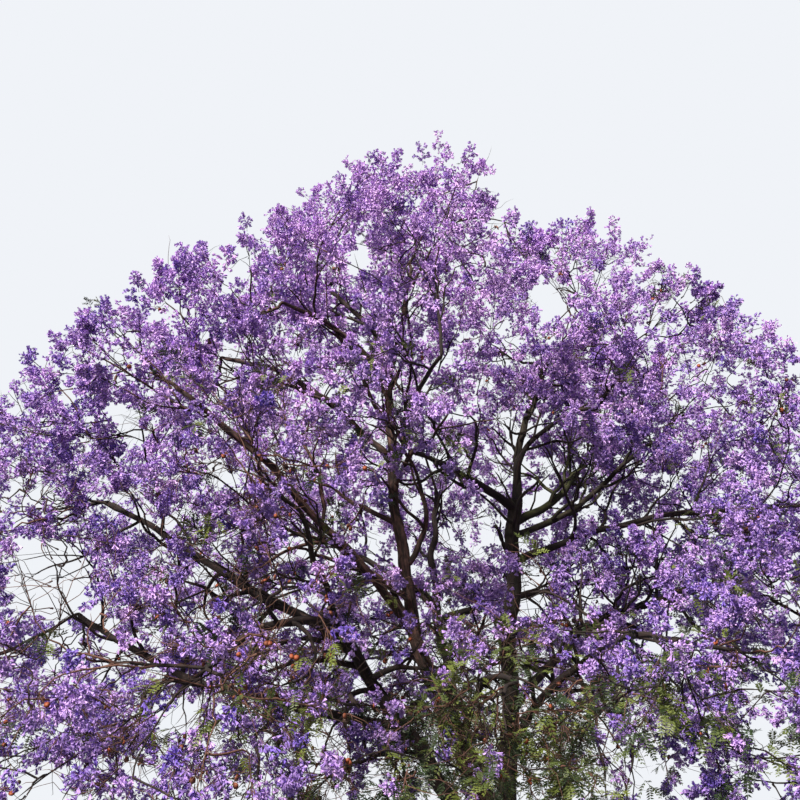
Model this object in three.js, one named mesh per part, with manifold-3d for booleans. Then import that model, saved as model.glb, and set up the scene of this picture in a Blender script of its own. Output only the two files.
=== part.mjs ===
// Jacaranda tree in full bloom: a forked trunk, its stems and boughs, and the blossom masses they carry.
// Millimetres, +Z up, +X to the right and +Y away from the viewer. The origin is the middle of the
// flat cut at ground level. The layout below is in metres and degrees, and is scaled up at the end.

import * as THREE from 'three';
import { mergeVertices } from 'three/addons/utils/BufferGeometryUtils.js';
import Module from 'manifold-3d';

const wasm = await Module();
wasm.setup();

// Driving dimensions: lengths in metres, angles in degrees, and shares of a length or radius
const METRE = 1000;
const CLEARANCE = 0.00035;
const TRUNK = { height: 1.55, radius: 0.27, top: 0.2, rises: [90, 92] };
const FLARE = { swell: 0.55, fades: 0.16, buttress: 0.16, buttresses: 5, buttressFades: 0.24 };
const SHOULDER = { from: 0.88, narrows: 0.35 };
const LIMB = { steps: 24, crook: 0.012, crookTurn: 700, facingOver: 0.02 };
const STEM = { clear: 0.00042, foot: 0.026, pairFoot: 0.016, pairGap: 0.52, knee: 0.1, heart: 0.024 };
const STEM_REACH = 0.8;
const STEM_FORKS = [0.4, 0.6, 0.8, 0.97];
const TWIG = { radius: 0.011, sunk: 0.16, wayBackCost: 0.4, forkCost: 0.4, beads: 6, rootBeads: 2 };
const SPRAY = { long: 1.15, ofRadius: 0.62, girth: 0.36, fullness: 1.05, widestAt: 0.5, lean: 0.3 };
const SPRAY_BEADS = { count: 5, apart: 0.84 };
const SPREAD = { turnJitter: 20, shortest: 0.85, varies: 0.25, nearest: 0.5, leanRise: 60 };
const POD = { wide: 0.09, thick: 0.034, drop: 0.036 };
const SPRAYS_PER_AREA = 4.3;
const TRIES_PER_MASS = 260;
const SPACE_MARGIN = 0.003;
const LIMB_MARGIN = 0.004;

// In millimetres: how near two corners count as one, and how thin a facet is closed up
const MERGE_WITHIN = 0.0001;
const SLIVER = 0.05;

// Faces round a limb, twig or spray, and rings along it
const FACETS = { trunk: [15, 9], stem: [8, 9], bough: [6, 6], bloomStem: [3, 2], spray: [3, 3] };

// A repeatable run of draws: each is the last one times a factor, less whole turns
const DRAWS = { wholeTurn: 2147483647, factor: 16807, seedFactor: 7919, seedStart: 12345 };
const SEEDS_PER_MASS = 100;

// Each stem or bough: the limb that carries it, where along that limb it leaves, its length (m),
// its bearing and rise from start to end (degrees; bearing 0 is +X), and its radius (m).
const LIMBS = {
  'left-stem': ['trunk', 0.92, 6.35, [-165, -100], [55, 90], [0.125, 0.05]],
  'right-stem': ['trunk', 0.92, 4.65, [55, 60], [80, 80], [0.135, 0.1]],
  'low-stem': ['trunk', 0.6, 3.75, [-160, -130], [50, 45], [0.11, 0.07]],
  'rear-stem': ['trunk', 0.8, 4.65, [110, 100], [45, 60], [0.12, 0.075]],
  'top-bough': ['left-stem', 1, 1.65, [0, 10], [80, 80], [0.045, 0.032]],
  'high-left-bough': ['left-stem', 0.96, 2.1, [165, 145], [80, 40], [0.042, 0.03]],
  'upper-left-bough': ['left-stem', 0.93, 1.9, [-155, -145], [65, 0], [0.04, 0.028]],
  'west-bough': ['left-stem', 0.78, 3.55, [175, 145], [55, 20], [0.05, 0.032]],
  'front-bough': ['left-stem', 0.74, 2.1, [-70, -70], [65, 5], [0.038, 0.027]],
  'pale-bough': ['left-stem', 0.42, 4.25, [-130, -155], [35, 35], [0.062, 0.035]],
  'centre-bough': ['right-stem', 0.97, 2.45, [-135, -125], [20, -10], [0.07, 0.03]],
  'peak-bough': ['right-stem', 1, 2.25, [20, 10], [85, 65], [0.07, 0.04]],
  'inner-right-bough': ['right-stem', 0.95, 2.25, [-25, -40], [100, -10], [0.05, 0.03]],
  'mossy-bough': ['right-stem', 0.92, 3.15, [35, 60], [30, 45], [0.065, 0.038]],
  'right-bough': ['right-stem', 0.87, 2.6, [40, -40], [25, 40], [0.055, 0.032]],
  'long-right-bough': ['right-stem', 0.79, 3.15, [-15, -30], [20, -5], [0.055, 0.035]],
  'low-right-bough': ['right-stem', 0.18, 3.15, [-35, -65], [65, -15], [0.062, 0.034]],
  'low-front-bough': ['left-stem', 0.16, 2.6, [-90, -70], [50, -20], [0.045, 0.03]],
  'far-right-bough': ['right-stem', 0.32, 4.1, [30, -10], [50, 5], [0.07, 0.038]],
  'drooping-bough': ['low-stem', 1, 2.25, [-120, -130], [5, -40], [0.06, 0.034]],
  'long-left-bough': ['low-stem', 0.94, 4.35, [160, 160], [30, 30], [0.062, 0.038]],
  'far-left-bough': ['low-stem', 0.6, 4.6, [195, 155], [5, 30], [0.066, 0.036]],
  'front-left-bough': ['low-stem', 0.97, 1.65, [-115, -110], [45, 45], [0.045, 0.03]],
  'rear-left-bough': ['rear-stem', 0.95, 3.25, [150, 180], [40, 30], [0.062, 0.038]],
  'rear-bough': ['rear-stem', 1, 2.5, [90, 80], [65, 65], [0.07, 0.04]],
  'rear-right-bough': ['rear-stem', 0.9, 3.2, [35, 20], [20, 15], [0.06, 0.038]],
  'rear-low-bough': ['rear-stem', 0.65, 3.05, [115, 145], [25, 5], [0.06, 0.036]],
};

// Each blossom mass: the bough whose tip carries it, then how its middle lies from that tip,
// as bearing and rise (degrees) and distance (m), and the radius of its own space (m).
const MASSES = {
  'crown-top-blossom': ['top-bough', 85, 50, 1.8, 1.9],
  'high-left-blossom': ['high-left-bough', 85, 40, 1.2, 1.75],
  'front-top-blossom': ['front-bough', 125, 85, 1.5, 1.75],
  'upper-left-blossom': ['upper-left-bough', -165, -20, 0.65, 1.6],
  'west-blossom': ['west-bough', 115, -30, 0.75, 1.7],
  'pale-bough-blossom': ['pale-bough', 150, 35, 1.2, 1.5],
  'centre-blossom': ['centre-bough', -110, 5, 1.3, 1.25],
  'inner-right-blossom': ['inner-right-bough', -65, 20, 1.25, 1.6],
  'right-peak-blossom': ['peak-bough', -20, 55, 1.25, 1.8],
  'rear-peak-blossom': ['peak-bough', 115, 40, 2, 1.8],
  'mossy-bough-blossom': ['mossy-bough', 35, 25, 1.05, 2.0],
  'right-blossom': ['right-bough', -25, 35, 1.2, 1.8],
  'long-right-blossom': ['long-right-bough', 15, 5, 1.55, 1.75],
  'front-right-blossom': ['long-right-bough', -75, -15, 1.75, 1.6],
  'low-right-blossom': ['low-right-bough', -50, -15, 1.5, 1.7],
  'low-front-blossom': ['low-front-bough', -110, -15, 1.25, 1.25],
  'far-right-blossom': ['far-right-bough', -45, -35, 2.4, 1.75],
  'rear-far-right-blossom': ['far-right-bough', 45, 0, 1.95, 1.9],
  'drooping-front-blossom': ['drooping-bough', -65, -20, 1.1, 1.6],
  'drooping-left-blossom': ['drooping-bough', -175, 0, 1.5, 1.8],
  'far-left-blossom': ['long-left-bough', 160, 5, 1.55, 1.9],
  'left-front-blossom': ['long-left-bough', -105, -25, 2.1, 1.8],
  'low-left-blossom': ['far-left-bough', -155, -30, 1.65, 1.75],
  'low-left-rear-blossom': ['far-left-bough', 105, 0, 2.5, 1.9],
  'front-left-blossom': ['front-left-bough', -120, 25, 1.05, 1.7],
  'rear-left-blossom': ['rear-left-bough', -125, 85, 1.2, 2.0],
  'rear-far-left-blossom': ['rear-left-bough', -180, -15, 2.15, 2.0],
  'rear-top-blossom': ['rear-bough', -155, 70, 1.75, 1.9],
  'rear-blossom': ['rear-bough', 75, -15, 1.3, 2.0],
  'rear-right-blossom': ['rear-right-bough', 95, -5, 1.3, 2.0],
  'rear-upper-right-blossom': ['rear-right-bough', 0, 15, 2.25, 1.8],
  'rear-low-blossom': ['rear-low-bough', 135, 5, 1.45, 2.0],
};

const BARK = { color: 0x4a3a35, roughness: 0.9, metalness: 0 };
const BLOSSOM_TINTS = [0x9678c8, 0xa98ad6, 0x8566bb, 0xb592d8];
const BLOSSOM = { roughness: 0.8, metalness: 0 };

const { clamp, degToRad, lerp, radToDeg } = THREE.MathUtils;
const UP = new THREE.Vector3(0, 0, 1);
const GOLDEN_ANGLE = 180 * (3 - Math.sqrt(5));
const vec = (x, y, z) => new THREE.Vector3(x, y, z);

// Rules of growth, in metres

// A repeatable run of numbers between 0 and 1
function seeded(seed) {
  let state = (seed * DRAWS.seedFactor + DRAWS.seedStart) % DRAWS.wholeTurn;
  return () => {
    state = (state * DRAWS.factor) % DRAWS.wholeTurn;
    return state / DRAWS.wholeTurn;
  };
}

// The unit vector of a bearing and a rise in degrees
function heading(bearing, rise) {
  const turn = degToRad(bearing);
  const lift = degToRad(rise);
  return vec(Math.cos(lift) * Math.cos(turn), Math.cos(lift) * Math.sin(turn), Math.sin(lift));
}

// Shares of a run, 0.5, 0.25, 0.75 and so on, that fill it evenly however many are taken
function evenShare(count) {
  let share = 0;
  let step = 0.5;
  for (let left = count; left > 0; left = Math.floor(left / 2)) {
    share += step * (left % 2);
    step /= 2;
  }
  return share;
}

// A limb grows from its start by turning evenly from its first heading to its last,
// with a slight crook that dies out at both ends.
function growPath(start, length, bearings, rises, seed) {
  const random = seeded(seed);
  const side = heading(bearings[0] + 90, 0);
  const phase = 360 * random();
  const spine = [start.clone()];
  const points = [start.clone()];
  for (let step = 0; step < LIMB.steps; step += 1) {
    const middle = (step + 0.5) / LIMB.steps;
    const bearing = lerp(bearings[0], bearings[1], middle);
    const rise = lerp(rises[0], rises[1], middle);
    spine.push(spine[step].clone().addScaledVector(heading(bearing, rise), length / LIMB.steps));
    const share = (step + 1) / LIMB.steps;
    const bend = Math.sin(Math.PI * share) * Math.sin(degToRad(phase + LIMB.crookTurn * share));
    points.push(spine[step + 1].clone().addScaledVector(side, LIMB.crook * length * bend));
  }
  return points;
}

// The direction in which a limb ends
function onwardOf(points) {
  return points[LIMB.steps].clone().sub(points[LIMB.steps - 1]).normalize();
}

function along(points, share) {
  const place = share * (points.length - 1);
  const index = Math.min(Math.floor(place), points.length - 2);
  return points[index].clone().lerp(points[index + 1], place - index);
}

function growLimbs() {
  const trunk = growPath(vec(0, 0, 0), TRUNK.height, [180, 180], TRUNK.rises, 0);
  const limbs = { trunk: { points: trunk, radii: [TRUNK.radius, TRUNK.top] } };
  Object.entries(LIMBS).forEach(([name, [parent, share, length, bearings, rises, radii]], index) => {
    const start = along(limbs[parent].points, share);
    limbs[name] = { points: growPath(start, length, bearings, rises, index + 1), radii };
  });
  return limbs;
}

// Each mass has a stem that starts just clear of its bough's tip. Two masses on one tip start
// side by side, each on the side where its own middle lies.
function placeMasses(limbs) {
  const masses = Object.entries(MASSES).map(([name, [bough, bearing, rise, distance, radius]], index) => {
    const tip = limbs[bough].points[LIMB.steps];
    const centre = tip.clone().addScaledVector(heading(bearing, rise), distance);
    return { name, bough, tip, centre, radius, seed: SEEDS_PER_MASS * (index + 1) };
  });
  for (const mass of masses) {
    const { points, radii } = limbs[mass.bough];
    const onward = onwardOf(points);
    const partner = masses.find((other) => other !== mass && other.bough === mass.bough);
    mass.foot = mass.tip.clone().addScaledVector(onward, STEM.clear);
    if (partner) {
      const apart = mass.centre.clone().sub(partner.centre).projectOnPlane(onward).normalize();
      mass.foot.addScaledVector(apart, radii[1] * STEM.pairGap);
    }
    mass.footRadius = partner ? STEM.pairFoot : STEM.foot;
    mass.knee = mass.foot.clone().addScaledVector(onward, STEM.knee);
    mass.heart = mass.foot.clone().lerp(mass.centre, STEM_REACH);
  }
  return masses;
}

// The part of the space between two masses that belongs to the first: how far in a point lies
function depthInside(mass, other, point) {
  const toOther = point.distanceToSquared(other.centre) - other.radius ** 2;
  const toMass = point.distanceToSquared(mass.centre) - mass.radius ** 2;
  return (toOther - toMass) / (2 * mass.centre.distanceTo(other.centre));
}

function distanceToLimb(point, start, end) {
  const run = end.clone().sub(start);
  const share = clamp(point.clone().sub(start).dot(run) / run.lengthSq(), 0, 1);
  return point.distanceTo(start.clone().addScaledVector(run, share));
}

// A row of beads stands for a twig or spray. It fits where each bead keeps inside the mass's
// own space and clear of every limb.
function fits(beads, mass, masses, wood) {
  return beads.every(({ point, radius }) => {
    if (point.distanceTo(mass.centre) > mass.radius) return false;
    const room = radius + SPACE_MARGIN;
    if (masses.some((other) => other !== mass && depthInside(mass, other, point) < room)) return false;
    return wood.every(({ start, end, thick, owner }) => owner === mass.name
      || distanceToLimb(point, start, end) > radius + thick + LIMB_MARGIN);
  });
}

// Whether any bead of a twig or spray lies against what has grown before it
function crowded(beads, others) {
  return beads.some(({ point, radius }) => others.some((other) => (
    point.distanceTo(other.point) < SPRAY_BEADS.apart * (radius + other.radius)
  )));
}

function beadsOf(start, end, radiusAt, count) {
  return Array.from({ length: count }, (_, index) => {
    const share = (index + 0.5) / count;
    return { point: start.clone().lerp(end, share), radius: radiusAt(share) };
  });
}

// Where the next spray of a mass would lie: evenly spread round its middle, each leaning its own way
function proposeSpray(mass, turn) {
  const random = seeded(mass.seed + turn);
  const level = radToDeg(Math.asin(1 - 2 * evenShare(turn)));
  const outward = heading(turn * GOLDEN_ANGLE + SPREAD.turnJitter * random(), level);
  const full = Math.min(SPRAY.long, SPRAY.ofRadius * mass.radius);
  const long = full * (SPREAD.shortest + SPREAD.varies * random());
  const away = (mass.radius - long) * lerp(SPREAD.nearest, 1, random());
  const base = mass.centre.clone().addScaledVector(outward, away);
  const lean = heading(360 * random(), SPREAD.leanRise * random());
  const aim = outward.clone().addScaledVector(lean, SPRAY.lean).normalize();
  return { base, aim, long };
}

// Each spray gets a twig from the nearest part of what has grown so far, counting the way back
// to the stem's foot and the forks already there.
function growMass(mass, masses, wood) {
  const nodes = STEM_FORKS.map((share) => {
    const point = mass.knee.clone().lerp(mass.heart, share);
    return { point, wayBack: point.distanceTo(mass.foot), forks: 0 };
  }).filter(({ point }) => fits([{ point, radius: STEM.heart }], mass, masses, wood));
  const sprays = [];
  const blooms = [];
  const grown = beadsOf(mass.knee, mass.heart, () => STEM.heart, TWIG.beads);
  const wanted = Math.round(SPRAYS_PER_AREA * mass.radius ** 2);
  for (let turn = 1; turn <= TRIES_PER_MASS && sprays.length < wanted; turn += 1) {
    const { base, aim, long } = proposeSpray(mass, turn);
    const cost = ({ point, wayBack, forks }) => (
      point.distanceTo(base) + TWIG.wayBackCost * wayBack + TWIG.forkCost * forks
    );
    const node = nodes.reduce((best, other) => (cost(other) < cost(best) ? other : best));
    const swell = (share) => long * SPRAY.girth * (SPRAY.fullness - Math.abs(2 * share - 1));
    const tip = base.clone().addScaledVector(aim, long);
    const sprayBeads = beadsOf(base, tip, swell, SPRAY_BEADS.count);
    const twigBeads = beadsOf(node.point, base, () => TWIG.radius, TWIG.beads);
    if (!fits([...sprayBeads, ...twigBeads], mass, masses, wood)) continue;
    if (crowded(sprayBeads, grown) || crowded(twigBeads.slice(TWIG.rootBeads), blooms)) continue;
    sprays.push({ from: node.point, base, aim, long });
    blooms.push(...sprayBeads);
    grown.push(...sprayBeads, ...twigBeads);
    node.forks += 1;
    const point = base.clone().addScaledVector(aim, TWIG.sunk * long);
    nodes.push({ point, wayBack: node.wayBack + node.point.distanceTo(point), forks: 0 });
  }
  return sprays;
}

// Solids

function toSolid(geometry) {
  const bare = geometry.clone();
  bare.deleteAttribute('normal');
  bare.deleteAttribute('uv');
  const merged = mergeVertices(bare, MERGE_WITHIN);
  return new wasm.Manifold(new wasm.Mesh({
    numProp: 3,
    vertProperties: Float32Array.from(merged.attributes.position.array),
    triVerts: Uint32Array.from(merged.index.array),
  }));
}

function toGeometry(solid) {
  const mesh = solid.getMesh();
  const geometry = new THREE.BufferGeometry();
  geometry.setAttribute('position', new THREE.BufferAttribute(mesh.vertProperties, 3));
  geometry.setIndex(new THREE.BufferAttribute(mesh.triVerts, 1));
  geometry.computeVertexNormals();
  return geometry;
}

// Only the main body is kept: a loose scrap is dropped and a sealed hollow is filled. Slivers that
// a join or cut leaves are closed up.
function mainBody(solid) {
  const body = solid.decompose().reduce((best, piece) => (piece.volume() > best.volume() ? piece : best));
  return body.simplify(SLIVER);
}

// A cylinder bent along a path, with its radius given at each share of the length. Where the
// radius comes down to nothing the last ring closes in a point. A squared foot is cut level.
function bentTube(points, radiusAt, sides, rings, squareFoot = false) {
  const pointed = radiusAt(1, 0) === 0;
  const geometry = new THREE.CylinderGeometry(pointed ? 0 : 1, 1, 1, sides, rings);
  geometry.rotateX(Math.PI / 2);
  const place = geometry.attributes.position;
  for (let index = 0; index < place.count; index += 1) {
    const share = clamp(place.getZ(index) + 0.5, 0, 1);
    const ahead = along(points, Math.min(share + LIMB.facingOver, 1));
    const facing = ahead.sub(along(points, Math.max(share - LIMB.facingOver, 0))).normalize();
    if (squareFoot && share === 0) facing.copy(UP);
    const spin = new THREE.Quaternion().setFromUnitVectors(UP, facing);
    const round = vec(place.getX(index), place.getY(index), 0);
    const radius = radiusAt(share, Math.atan2(round.y, round.x));
    round.setLength(round.length() > 0 ? radius : 0).applyQuaternion(spin);
    const point = along(points, share).add(round);
    place.setXYZ(index, point.x * METRE, point.y * METRE, point.z * METRE);
  }
  return toSolid(geometry);
}

function trunkRadius(share, angle) {
  const height = share * TRUNK.height;
  const taper = lerp(TRUNK.radius, TRUNK.top, share);
  const flare = 1 + FLARE.swell * Math.exp(-height / FLARE.fades);
  const ridge = FLARE.buttress * Math.exp(-height / FLARE.buttressFades);
  const past = Math.max(share - SHOULDER.from, 0) / (1 - SHOULDER.from);
  const shoulder = 1 - SHOULDER.narrows * past ** 2;
  return taper * flare * shoulder * (1 + ridge * Math.cos(FLARE.buttresses * angle));
}

// A limb, or with some extra the same limb a hair thicker and longer, to cut its neighbours clear
function limbSolid(name, { points, radii }, extra) {
  const isTrunk = name === 'trunk';
  const radiusAt = isTrunk
    ? (share, angle) => trunkRadius(share, angle) + extra
    : (share) => lerp(radii[0], radii[1], share) + extra;
  const onset = points[1].clone().sub(points[0]).normalize();
  const start = points[0].clone().addScaledVector(onset, -extra);
  const end = points[LIMB.steps].clone().addScaledVector(onwardOf(points), extra);
  const longer = [start, ...points.slice(1, -1), end];
  const kind = name.endsWith('bough') ? 'bough' : isTrunk ? 'trunk' : 'stem';
  return bentTube(longer, radiusAt, ...FACETS[kind], isTrunk);
}

// A three-sided stem that sets off square to its bough's tip and then turns to the mass's heart
function stemSolid({ foot, knee, heart, footRadius }) {
  const radiusAt = (share) => lerp(footRadius, STEM.heart, share);
  return bentTube([foot, knee, heart], radiusAt, ...FACETS.bloomStem);
}

// A three-sided twig from inside what carries it, that widens into a lozenge and ends in a point.
// The lozenge stands for a spray of panicles.
function spraySolid({ from, base, aim, long }) {
  const widest = base.clone().addScaledVector(aim, SPRAY.widestAt * long);
  const tip = base.clone().addScaledVector(aim, long);
  const radii = [TWIG.radius, TWIG.radius, SPRAY.girth * long, 0];
  const radiusAt = (share) => radii[Math.round(share * (radii.length - 1))];
  return bentTube([from, base, widest, tip], radiusAt, ...FACETS.spray);
}

// A flat round seed pod that hangs against its twig
function podSolid(point) {
  const geometry = new THREE.OctahedronGeometry(0.5 * POD.wide * METRE, 0);
  geometry.scale(POD.thick / POD.wide, 1, 1);
  geometry.translate(point.x * METRE, point.y * METRE, (point.z - POD.drop) * METRE);
  return toSolid(geometry);
}

function massSolid(mass, sprays) {
  let body = stemSolid(mass);
  for (const spray of sprays) body = body.add(spraySolid(spray));
  const bearer = sprays[Math.floor(sprays.length / 2)];
  body = body.add(podSolid(bearer.from.clone().lerp(bearer.base, 0.5)));
  return mainBody(body);
}

// The tree

const tree = new THREE.Group();
const limbs = growLimbs();
const masses = placeMasses(limbs);

function addNode(name, solid, material) {
  const mesh = new THREE.Mesh(toGeometry(solid), new THREE.MeshStandardMaterial(material));
  mesh.name = name;
  tree.add(mesh);
}

// Later limbs are cut clear of earlier ones, so a bough starts at the skin of what carries it.
const cutters = [];
for (const [name, limb] of Object.entries(limbs)) {
  const whole = limbSolid(name, limb, 0);
  const cut = cutters.reduce((solid, cutter) => solid.subtract(cutter), whole);
  addNode(name, mainBody(cut), BARK);
  cutters.push(limbSolid(name, limb, CLEARANCE));
}

// Everything a twig or spray keeps clear of: the limbs and the other masses' stems
const wood = [];
for (const { points, radii } of Object.values(limbs)) {
  for (let step = 0; step < LIMB.steps; step += 1) {
    const thick = lerp(radii[0], radii[1], step / LIMB.steps);
    wood.push({ start: points[step], end: points[step + 1], thick, owner: null });
  }
}
for (const mass of masses) {
  wood.push({ start: mass.foot, end: mass.knee, thick: STEM.foot, owner: mass.name });
  wood.push({ start: mass.knee, end: mass.heart, thick: STEM.foot, owner: mass.name });
}

masses.forEach((mass, index) => {
  const sprays = growMass(mass, masses, wood);
  const tint = BLOSSOM_TINTS[index % BLOSSOM_TINTS.length];
  addNode(mass.name, massSolid(mass, sprays), { color: tint, ...BLOSSOM });
});

export default tree;
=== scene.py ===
"""A jacaranda tree in full bloom, 12 m high and 15 m across, grown from a few named sizes.

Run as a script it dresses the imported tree: bark over the trunk, stems and boughs, then finer boughs,
twigs, blossom, leaves and pods in place of each plain blossom mass. Metres, +Z up.
"""

import functools
import math
from types import SimpleNamespace as Sizes

import bpy
import numpy as np
from bpy.props import FloatProperty, FloatVectorProperty, IntProperty, PointerProperty
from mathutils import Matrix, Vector, noise


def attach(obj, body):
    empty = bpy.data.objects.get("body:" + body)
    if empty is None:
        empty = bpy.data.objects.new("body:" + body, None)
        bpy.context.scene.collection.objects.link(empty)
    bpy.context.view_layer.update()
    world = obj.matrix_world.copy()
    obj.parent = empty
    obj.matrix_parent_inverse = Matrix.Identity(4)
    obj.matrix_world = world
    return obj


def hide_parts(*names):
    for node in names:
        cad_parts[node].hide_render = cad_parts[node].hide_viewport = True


bl_info = {
    "name": "Jacaranda Tree",
    "version": (1, 0, 0),
    "blender": (4, 5, 0),
    "location": "View3D > Sidebar > Jacaranda",
    "description": "Bark, twigs, blossom, leaves and pods for a jacaranda tree in full bloom",
    "category": "Add Mesh",
}

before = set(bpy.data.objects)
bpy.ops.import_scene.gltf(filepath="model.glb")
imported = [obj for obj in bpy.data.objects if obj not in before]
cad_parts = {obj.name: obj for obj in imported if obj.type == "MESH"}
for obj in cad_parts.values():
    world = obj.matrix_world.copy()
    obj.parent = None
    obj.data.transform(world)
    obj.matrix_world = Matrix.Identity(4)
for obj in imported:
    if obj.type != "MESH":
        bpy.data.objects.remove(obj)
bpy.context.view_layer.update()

# The layout of the tree, as its solids have it: lengths in metres, angles in degrees, and shares of
# a length or radius.
TRUNK = Sizes(height=1.55, radius=0.27, top=0.2, rises=(90, 92))
FLARE = Sizes(swell=0.55, fades=0.16, buttress=0.16, buttresses=5, buttress_fades=0.24)
LIMB = Sizes(steps=24, crook=0.012, crook_turn=700)
STEM = Sizes(clear=0.00042, foot=0.026, pair_gap=0.52, knee=0.1, heart=0.024, reach=0.8)
STEM_FORKS = (0.4, 0.6, 0.8, 0.97)
TWIG = Sizes(radius=0.011, sunk=0.16, way_back_cost=0.4, fork_cost=0.4, beads=6, root_beads=2)
SPRAY = Sizes(long=1.15, of_radius=0.62, girth=0.36, fullness=1.05, lean=0.3, beads=5)
SPREAD = Sizes(turn_jitter=20, shortest=0.85, varies=0.25, nearest=0.5, lean_rise=60)
FINE = Sizes(long=0.4, radius=0.004, apart=0.42, per_area=8, tries=300, spray_forks=(0.35, 0.55))
APART = 0.84
SPRAYS_PER_AREA = 4.3
TRIES_PER_MASS = 260
SPACE_MARGIN = 0.003
LIMB_MARGIN = 0.004
DRAWS = Sizes(whole_turn=2147483647, factor=16807, seed_factor=7919, seed_start=12345)
SEEDS_PER_MASS = 100
GOLDEN_ANGLE = 180 * (3 - math.sqrt(5))
GOLDEN_TURN = math.radians(GOLDEN_ANGLE)
WHOLE_TURN = 2 * math.pi

# Each stem or bough: the limb that carries it, where along that limb it leaves, its length, its
# bearing and rise from start to end (bearing 0 is +X), and its radius from start to end.
LIMBS = {
    "left-stem": ("trunk", 0.92, 6.35, (-165, -100), (55, 90), (0.125, 0.05)),
    "right-stem": ("trunk", 0.92, 4.65, (55, 60), (80, 80), (0.135, 0.1)),
    "low-stem": ("trunk", 0.6, 3.75, (-160, -130), (50, 45), (0.11, 0.07)),
    "rear-stem": ("trunk", 0.8, 4.65, (110, 100), (45, 60), (0.12, 0.075)),
    "top-bough": ("left-stem", 1, 1.65, (0, 10), (80, 80), (0.045, 0.032)),
    "high-left-bough": ("left-stem", 0.96, 2.1, (165, 145), (80, 40), (0.042, 0.03)),
    "upper-left-bough": ("left-stem", 0.93, 1.9, (-155, -145), (65, 0), (0.04, 0.028)),
    "west-bough": ("left-stem", 0.78, 3.55, (175, 145), (55, 20), (0.05, 0.032)),
    "front-bough": ("left-stem", 0.74, 2.1, (-70, -70), (65, 5), (0.038, 0.027)),
    "pale-bough": ("left-stem", 0.42, 4.25, (-130, -155), (35, 35), (0.062, 0.035)),
    "centre-bough": ("right-stem", 0.97, 2.45, (-135, -125), (20, -10), (0.07, 0.03)),
    "peak-bough": ("right-stem", 1, 2.25, (20, 10), (85, 65), (0.07, 0.04)),
    "inner-right-bough": ("right-stem", 0.95, 2.25, (-25, -40), (100, -10), (0.05, 0.03)),
    "mossy-bough": ("right-stem", 0.92, 3.15, (35, 60), (30, 45), (0.065, 0.038)),
    "right-bough": ("right-stem", 0.87, 2.6, (40, -40), (25, 40), (0.055, 0.032)),
    "long-right-bough": ("right-stem", 0.79, 3.15, (-15, -30), (20, -5), (0.055, 0.035)),
    "low-right-bough": ("right-stem", 0.18, 3.15, (-35, -65), (65, -15), (0.062, 0.034)),
    "low-front-bough": ("left-stem", 0.16, 2.6, (-90, -70), (50, -20), (0.045, 0.03)),
    "far-right-bough": ("right-stem", 0.32, 4.1, (30, -10), (50, 5), (0.07, 0.038)),
    "drooping-bough": ("low-stem", 1, 2.25, (-120, -130), (5, -40), (0.06, 0.034)),
    "long-left-bough": ("low-stem", 0.94, 4.35, (160, 160), (30, 30), (0.062, 0.038)),
    "far-left-bough": ("low-stem", 0.6, 4.6, (195, 155), (5, 30), (0.066, 0.036)),
    "front-left-bough": ("low-stem", 0.97, 1.65, (-115, -110), (45, 45), (0.045, 0.03)),
    "rear-left-bough": ("rear-stem", 0.95, 3.25, (150, 180), (40, 30), (0.062, 0.038)),
    "rear-bough": ("rear-stem", 1, 2.5, (90, 80), (65, 65), (0.07, 0.04)),
    "rear-right-bough": ("rear-stem", 0.9, 3.2, (35, 20), (20, 15), (0.06, 0.038)),
    "rear-low-bough": ("rear-stem", 0.65, 3.05, (115, 145), (25, 5), (0.06, 0.036)),
}

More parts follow.
